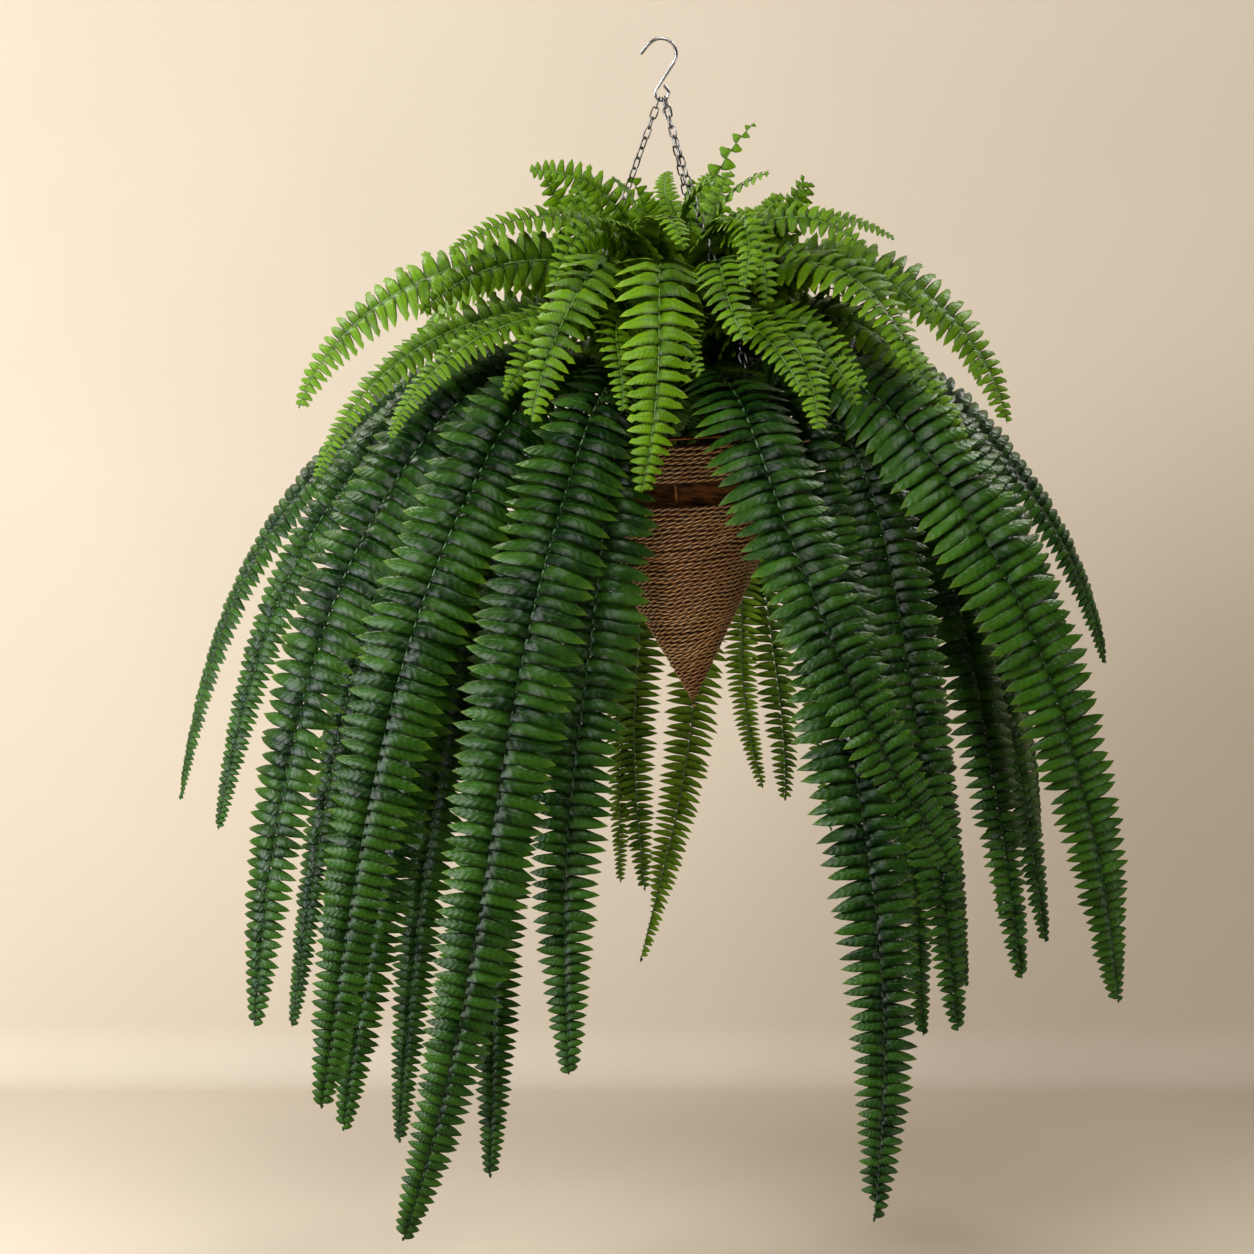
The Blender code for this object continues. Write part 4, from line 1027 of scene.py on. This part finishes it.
def leaflets(at, out, ahead, up, side, reach, half, lean, growth, habit, rng):
    """Thin closed leaflets. A leaflet's middle line goes out by its reach, forward by its lean and up by a
    sine arch less a droop, and each row stands across it, raised towards the middle and tilted so that it
    lies like a tile under the one before."""
    count = len(at)
    s = np.append(ROWS, 1.0)
    droop = habit.droop * rng.uniform(0.7, 1.35, (count, 1))
    arch = habit.arch * rng.uniform(0.6, 1.5, (count, 1))
    twist = np.radians(rng.normal(0, 7, (count, 1)))
    tilt = np.radians(habit.tilt + rng.normal(0, 4, (count, 1))) + twist * s
    going = (s - 0.05 * s**2) * reach[:, None]
    forward = (0.3 * s + 0.7 * s**2) * (lean * reach)[:, None]
    rise = (arch * np.sin(math.pi * s**0.6) - droop * s**1.9) * reach[:, None]
    middle = at[:, None] + out[:, None] * going[..., None] + ahead[:, None] * forward[..., None]
    middle = middle + up[:, None] * rise[..., None]
    along = unit(np.gradient(middle, s, axis=1))
    wide = unit(ahead[:, None] - along * (ahead[:, None] * along).sum(-1, keepdims=True))
    lift = np.cross(wide, along) * side[:, None, None]
    cos, sin = np.cos(tilt)[..., None], np.sin(tilt)[..., None]
    across, normal = wide * cos + lift * sin, lift * cos - wide * sin
    edges = outline(habit, growth[:, 0], rng)
    width = np.where(COLUMNS < 0, edges[:, 0, :, None], edges[:, 1, :, None]) * half[:, None, None]
    middle_width = edges.mean(1) * half[:, None]
    swell = (0.75 + 0.6 * np.exp(-(((ROWS - 0.35) / 0.25) ** 2))) * ease(ROWS / 0.25)
    cup = habit.cup * rng.uniform(0.7, 1.3, (count, 1)) * swell
    height = (cup * middle_width)[..., None] * SECTION
    crimp = habit.crimp * middle_width[..., None] * rng.normal(0, 1, (count, len(ROWS), len(COLUMNS)))
    height = height + crimp * np.where(SECTION > 0, 1, 0.6) * ease(ROWS / 0.14)[:, None]
    edge = np.maximum(height[..., :1], height[..., -1:])
    height[..., 1:-1] = np.maximum(height[..., 1:-1], edge + ARCHED)
    rows = middle[:, :-1, None] + across[:, :-1, None] * (width * COLUMNS)[..., None]
    rows = rows + normal[:, :-1, None] * height[..., None]
    below = rows[:, :1, len(COLUMNS) // 2] - normal[:, :1] * THICKNESS
    points = np.concatenate([rows.reshape(count, -1, 3), middle[:, -1:], below], axis=1)
    grid_uv = np.stack(np.meshgrid(ROWS, (COLUMNS + 1) / 2, indexing="ij"), -1).reshape(-1, 2)
    place = np.vstack([grid_uv, [[1, 0.5], [0, 0.5]]])
    size = points.shape[1]
    parts = []
    for facing in (1, -1):
        chosen = np.flatnonzero(side == facing)
        faces = [f[:, ::-1] if facing == 1 else f for f in LEAFLET_FACES]
        quads, tris = np.vstack(faces[:2]), np.vstack(faces[2:])
        start = (np.arange(len(chosen)) * size)[:, None, None]
        slots = [np.repeat([0, 1], [len(a), len(b)]) for a, b in (faces[:2], faces[2:])]
        parts.append(part(
            points[chosen].reshape(-1, 3),
            (quads[None] + start).reshape(-1, 4), np.tile(place[quads], (len(chosen), 1, 1)),
            (tris[None] + start).reshape(-1, 3), np.tile(place[tris], (len(chosen), 1, 1)),
            np.repeat(growth[chosen], size, axis=0),
            slots=[np.tile(s, len(chosen)) for s in slots],
        ))
    return parts


def spaced(frond, habit, first):
    """Shares along a frond at which its leaflets stand, and the room that each has. The room is less on a
    narrower frond and shrinks from the pitch to its fine share over the last stretch, and the leaflets
    stand where the sum of lengths divided by rooms passes whole numbers."""
    share = np.linspace(frond.bare, 0.994, 900)
    length = frond.length * MM
    ending = np.clip((1 - share) / habit.taper, 0, 1) ** 0.8
    pitch = habit.pitch * (frond.half_width / habit.broad) ** 0.75
    room = pitch * (habit.fine + (1 - habit.fine) * ending)
    passed = np.concatenate([[0], np.cumsum(np.diff(share) * length / room[1:])])
    place = np.interp(np.arange(first, passed[-1]), passed, share)
    return place, np.interp(place, share, room)


def inside_box(points, out, reach):
    """Reaches cut short where a leaflet would come out of the solids' box."""
    low, high = BOX - PLANT
    for k in range(2):
        edge = np.where(out[:, k] > 0, high[k] - 2 * MM, low[k] + 2 * MM)
        room = (edge - points[:, k]) / np.where(abs(out[:, k]) < 1e-3, 1e-3, out[:, k])
        reach = np.where(abs(out[:, k]) > 1e-3, np.minimum(reach, np.maximum(room, 2 * MM)), reach)
    return reach


RIB_AT_FOOT, RIB_THINNING = 1.7, 1.1  # radius in millimetres at the frond's foot, and what it loses
END_LEAFLET = 5 * MM
RIB_STATION = 9  # millimetres from one ring of the rib to the next


def frond_parts(frond, others, start, habit, rng, tone):
    """A frond: its rib, which sways from its line by a sine, pairs of leaflets along it that shorten
    towards the tip, and one at the end. It rolls about its rib towards the plant's front."""
    route = rib_route(frond) + start
    knots = np.linspace(0, 1, len(route))
    left_hint = outward(frond.azimuth + 90)
    wave = np.sin(math.tau * (knots * rng.uniform(0.9, 1.5) + rng.uniform()))
    wave = wave * (3 + 8 * knots**2) * MM * ease(knots * 1.6)
    route = route + along_path(route, left_hint)[1] * wave[:, None]
    ahead_all, left_all, up_all = along_path(route, left_hint)
    level = 1 + 0.4 * np.exp(-(((knots - 0.2) / 0.13) ** 2))
    facing = -habit.facing * math.cos(math.radians(frond.azimuth)) * ease(knots * 8) * level
    roll = np.radians(facing + rng.normal(0, 3) + rng.normal(0, 7) * knots)[:, None]
    left_all, up_all = (left_all * np.cos(roll) - up_all * np.sin(roll),
                        up_all * np.cos(roll) + left_all * np.sin(roll))

    def at(values, share):
        return np.stack([np.interp(share, knots, values[:, k]) for k in range(3)], 1)

    def thick(share):
        return (RIB_AT_FOOT - RIB_THINNING * share) * MM

    stands = [spaced(frond, habit, first) for first in (0.15, 0.15 + rng.uniform(0.25, 0.5))]
    share, gap = np.concatenate(stands, axis=1)
    side = np.repeat([1.0, -1.0], [len(s[0]) for s in stands])
    share = share + rng.normal(0, 0.04, len(share)) * gap / (frond.length * MM)
    out = unit(at(left_all, share)) * side[:, None]
    ahead, up = unit(at(ahead_all, share)), unit(at(up_all, share))
    points = at(route, share) + (out * 0.25 - up * 0.3) * thick(share)[:, None]
    reach = half_width_at(frond, share) * rng.uniform(0.91, 1.05, len(share))
    reach = np.minimum(reach, room_beside(frond, others, start, points, side, habit.crossing))
    reach = inside_box(points, out, reach)
    full, fine = habit.overlap
    half = 0.5 * gap * (full + (fine - full) * ease(share * 1.1))
    half = np.minimum(half * rng.uniform(0.92, 1.08, len(share)), reach * 0.46)
    lean = habit.lean + rng.normal(0, 0.05, len(share))
    growth = np.column_stack([share, rng.uniform(0, 1, len(share)), np.full(len(share), tone)])
    parts = leaflets(points, out, ahead, up, side, reach, half, lean, growth, habit, rng)
    end, size = ahead_all[-1:], np.array([END_LEAFLET])
    parts += leaflets(
        route[-1:] - end * size, end, -left_all[-1:], up_all[-1:], np.ones(1), size, size * 0.3,
        np.zeros(1), np.array([[1.0, 0.6, tone]]), habit, rng,
    )
    stations = np.linspace(0, 0.996, max(int(frond.length / RIB_STATION), 12))
    ring = circle(1, 7, math.pi / 2) * [1, 0.9]
    grown_at = np.column_stack([stations, np.full(len(stations), 0.5), np.full(len(stations), tone)])
    parts.append(carried(
        at(route, stations), unit(at(left_all, stations)), unit(at(up_all, stations)),
        ring[None] * thick(stations)[:, None, None], growth=grown_at, slot=2,
    ))
    return [p._replace(points=p.points + PLANT) for p in parts]


def crown_parts(crown, rng):
    """A short crown in the soil, the three fronds that rise from it, and a tuft of small ones."""
    start = outward(crown.azimuth) * CROWN_CIRCLE
    parts = []
    fronds = [
        Frond(number, line, azimuth, length, half_width, 0, reach, CROWN_BARE)
        for number, (line, azimuth, length, half_width, reach) in enumerate(crown.fronds)
    ]
    for frond in fronds:
        steep = frond.line == "spire"
        habit = {"spire": SPARSE, "plume": UPRIGHT}.get(frond.line, CRISP)
        full = frond._replace(half_width=frond.half_width * (1.35 if steep else 1.1))
        tone = rng.uniform(0.55, 0.8) + (0.4 if steep else 0)
        parts += frond_parts(full, fronds, start, habit, rng, tone)
    for line, azimuth, length, half_width, reach in crown.tuft:
        small = Frond("small", line, azimuth, length, half_width, rng.uniform(-10, 10), reach, TUFT_BARE)
        # The tufts on the brow and crown lines get a darker tone, painted shade for the crown's inside.
        light = 0.15 if line in ("brow", "crown") else 0.5
        parts += frond_parts(small, [], start, TUFTED, rng, light + rng.uniform(0, 0.3))
    heights = np.linspace(CROWN_FOOT, CROWN_TOP + 1 * MM, 9)
    path = start + PLANT + np.stack([0 * heights, 0 * heights, heights], 1)
    swell = CROWN_RADIUS * (1 - 0.25 * np.linspace(0, 1, 9) ** 3)
    parts.append(carried(
        path, np.tile([1.0, 0, 0], (9, 1)), np.tile([0, 1.0, 0], (9, 1)),
        circle(1, 14)[None] * swell[:, None, None], growth=(0, 0.3, 0.5), slot=2,
    ))
    return parts


rng = np.random.default_rng(19)
piece("hook_wire", [rounded(hook_path(), HOOK_WIRE / 2, (0, 1, 0), 20)], [steel], "hook")
for chain_side in CHAIN_AZIMUTHS:
    piece(f"links_{chain_side}", chain(chain_side), [chain_steel], f"chain_{chain_side}")
piece("frame_wires", basket_frame(), [rust_and_shade_steel], "basket_frame")
piece("rope_band", [wound_rope(*UPPER_BAND, False, rng)], [rope], "rope_upper")
piece("rope_cone", [wound_rope(*LOWER_BAND, True, rng)], [rope], "rope_lower")
piece("fibre_liner", liner_parts(rng), [fibre], "liner")
piece("soil_fill", soil_parts(rng), [earth], "soil")

# How light the fronds are that stand out, from 0 to 1. The others are given theirs at random.
TONES = {
    "mature_03": 0.20, "mature_04": 0.28, "mature_05": 0.30, "mature_06": 0.10, "mature_07": 0.38,
    "mature_08": 0.90, "mature_09": 0.15, "mature_13": 0.95, "mature_14": 1.0, "mature_21": 0.30,
    "mature_26": 0.85, "mature_27": 0.9, "young_01": 0.40, "young_02": 0.10, "young_03": 0.50,
    "young_08": 0.50, "young_09": 0.25, "young_10": 0.05, "young_11": 0.10, "young_12": 0.25,
    "young_13": 0.40, "young_14": 0.30, "young_15": 0.20,
}
# Fronds that only the scene has, each beside one of the solids': line, azimuth, length, half width and reach
SHOOTS = {
    "mature_06": [("middle", 291, 225, 32, 1)],
    "mature_21": [("middle", 304, 430, 42, 1)],
    "mature_20": [("middle", 261, 225, 32, 1), ("middle", 272, 180, 26, 1)],
    "mature_14": [("outer", 96, 850, 42, 0.9)],
    "mature_26": [("middle", 69, 650, 46, 1)],
    "young_09": [("crest", 338, 400, 38, 1.05)],
    "young_11": [("brow", 294, 345, 30, 1), ("brow", 274, 300, 28, 0.8)],
    "young_12": [("crest", 202, 400, 38, 1.15), ("brow", 180, 400, 32, 1.3)],
    "young_13": [("brow", 228, 350, 30, 1)],
    "young_14": [("brow", 314, 340, 30, 1)],
}
FACING = ["young_01", "young_02", "young_10", "young_11", "young_14", "young_15"]  # seen full from the front
WEAR = {True: [mature_top, mature_under, mature_stalk], False: [young_top, young_under, young_stalk]}
for number, frond in enumerate(FRONDS):
    kin = [other for other in FRONDS if layer(other) == layer(frond)]
    mature = frond.name.startswith("mature")
    own = np.random.default_rng(100 + number)
    tone = TONES.get(frond.name, own.uniform(0.05, 0.4) if mature else own.uniform(0.2, 0.6))
    habit = MATURE if mature else FACED if frond.name in FACING else YOUNG
    shown = frond._replace(half_width=frond.half_width * (1 if mature else 1.2))
    made = frond_parts(shown, kin, np.zeros(3), habit, own, tone)
    for line, azimuth, length, half_width, reach in SHOOTS.get(frond.name, []):
        shoot = Frond("shoot", line, azimuth, length, half_width, 0, reach)
        # Shoots are given a dark tone: painted shade for the plant's inside, where they sit.
        made += frond_parts(shoot, [], np.zeros(3), MATURE if mature else TUFTED, own, 0.1)
    piece(f"leaves_{frond.name}", made, WEAR[mature], f"frond_{frond.name}")
for number, crown in enumerate(CROWNS):
    made = crown_parts(crown, np.random.default_rng(200 + number))
    piece(f"leaves_crown_{crown.name}", made, WEAR[False], f"fronds_crown_{crown.name}")


def stage_material():
    """Warm, even plaster, clear from behind so that it hides nothing from the other sides."""
    made, tree, shader = material("pale_plaster", Roughness=0.9)
    cloud = grain(tree, places(tree), 0.6)
    feed(tree, shader["Base Color"], blended(tree, cloud, (0.52, 0.44, 0.345), (0.60, 0.515, 0.41)))
    one_sided = tree.nodes.new("ShaderNodeMixShader")
    feed(tree, one_sided.inputs[0], tree.nodes.new("ShaderNodeNewGeometry").outputs["Backfacing"])
    feed(tree, one_sided.inputs[1], tree.nodes["Principled BSDF"].outputs[0])
    feed(tree, one_sided.inputs[2], tree.nodes.new("ShaderNodeBsdfTransparent").outputs[0])
    feed(tree, tree.nodes["Material Output"].inputs["Surface"], one_sided.outputs[0])
    return made


# The backdrop: a floor at a height and a wall behind the plant, joined by a bend of that radius
FLOOR, WALL, BEND = -1.283, 0.87, 0.07
SIDES, FRONT, CEILING = 7.0, -6, 3.5
turn = np.linspace(0, math.pi / 2, 12)
bend = np.stack([WALL - BEND + BEND * np.sin(turn), FLOOR + BEND * (1 - np.cos(turn))], 1)
line = np.vstack([[FRONT, FLOOR], bend, [WALL, CEILING]])
sweep = [(x, y, z) for x in (-SIDES, SIDES) for y, z in line.tolist()]
at = np.arange(len(line) - 1)
strips = np.stack([at, at + len(line), at + len(line) + 1, at + 1], 1)
mesh = bpy.data.meshes.new("backdrop")
mesh.from_pydata(sweep, [], strips.tolist())
mesh.shade_smooth()
mesh.materials.append(stage_material())
backdrop = bpy.data.objects.new("backdrop", mesh)
bpy.context.scene.collection.objects.link(backdrop)

AIM = Vector((-0.033, 0, -0.5786))


def softbox(name, place, size, power, colour, aim=AIM, spread=180):
    """A square light that faces the plant, or another place. The spread is in degrees."""
    lamp = bpy.data.lights.new(name, "AREA")
    lamp.size = size
    lamp.spread = math.radians(spread)
    lamp.energy = power
    lamp.color = colour
    held = bpy.data.objects.new(name, lamp)
    held.location = place
    held.rotation_euler = (Vector(aim) - Vector(place)).to_track_quat("-Z", "Y").to_euler()
    bpy.context.scene.collection.objects.link(held)


softbox("window_left", (-2.4, -2.1, 0.9), 1.3, 98, (1.0, 0.99, 0.985))
softbox("sky_above", (0.2, -1.5, 2.0), 1.4, 56, (1.0, 0.99, 0.97))
softbox("fill_right", (2.6, -1.6, -1.0), 1.6, 35, (1.0, 0.96, 0.90))
softbox("wall_glow", (-1.7, -0.5, 0.2), 0.6, 6, (0.86, 0.94, 1.0), (-0.85, 0.87, -0.25))
softbox("floor_glow", (-1.6, -0.6, -0.2), 0.6, 21, (0.90, 0.96, 1.0), (-0.8, 0.1, -1.28))
softbox("basket_glow", (-0.25, -2.2, -0.55), 0.12, 0.055, (1.0, 0.97, 0.92), (0.035, 0, -0.535), 9)
softbox("back_left", (-1.0, 0.8, 0.7), 0.5, 1.8, (1.0, 0.98, 0.95), (0.0, 0.0, -0.5), 50)
softbox("back_right", (1.0, 0.8, 0.7), 0.5, 1.8, (1.0, 0.98, 0.95), (0.0, 0.0, -0.5), 50)
world = bpy.data.worlds.new("room_light")
world.use_nodes = True
glow = world.node_tree.nodes["Background"].inputs
glow["Color"].default_value = (1.0, 0.90, 0.78, 1)
seen = world.node_tree.nodes.new("ShaderNodeLightPath").outputs["Is Camera Ray"]
feed(world.node_tree, glow["Strength"], sums(world.node_tree, "MULTIPLY_ADD", seen, 0.55, 0.05))
bpy.context.scene.world = world
bpy.context.scene.view_settings.view_transform = "Standard"

ELEVATION, DISTANCE = math.radians(8), 3.4
HALF_VIEW = 0.627  # half of the width that the picture takes in at the plant
lens = bpy.data.cameras.new("camera")
lens.sensor_width = 36
lens.lens = lens.sensor_width / 2 / (HALF_VIEW / DISTANCE)
camera = bpy.data.objects.new("camera", lens)
back = Vector((0, -math.cos(ELEVATION), math.sin(ELEVATION)))
camera.location = AIM + back * DISTANCE
camera.rotation_euler = (-back).to_track_quat("-Z", "Y").to_euler()
bpy.context.scene.collection.objects.link(camera)
bpy.context.scene.camera = camera
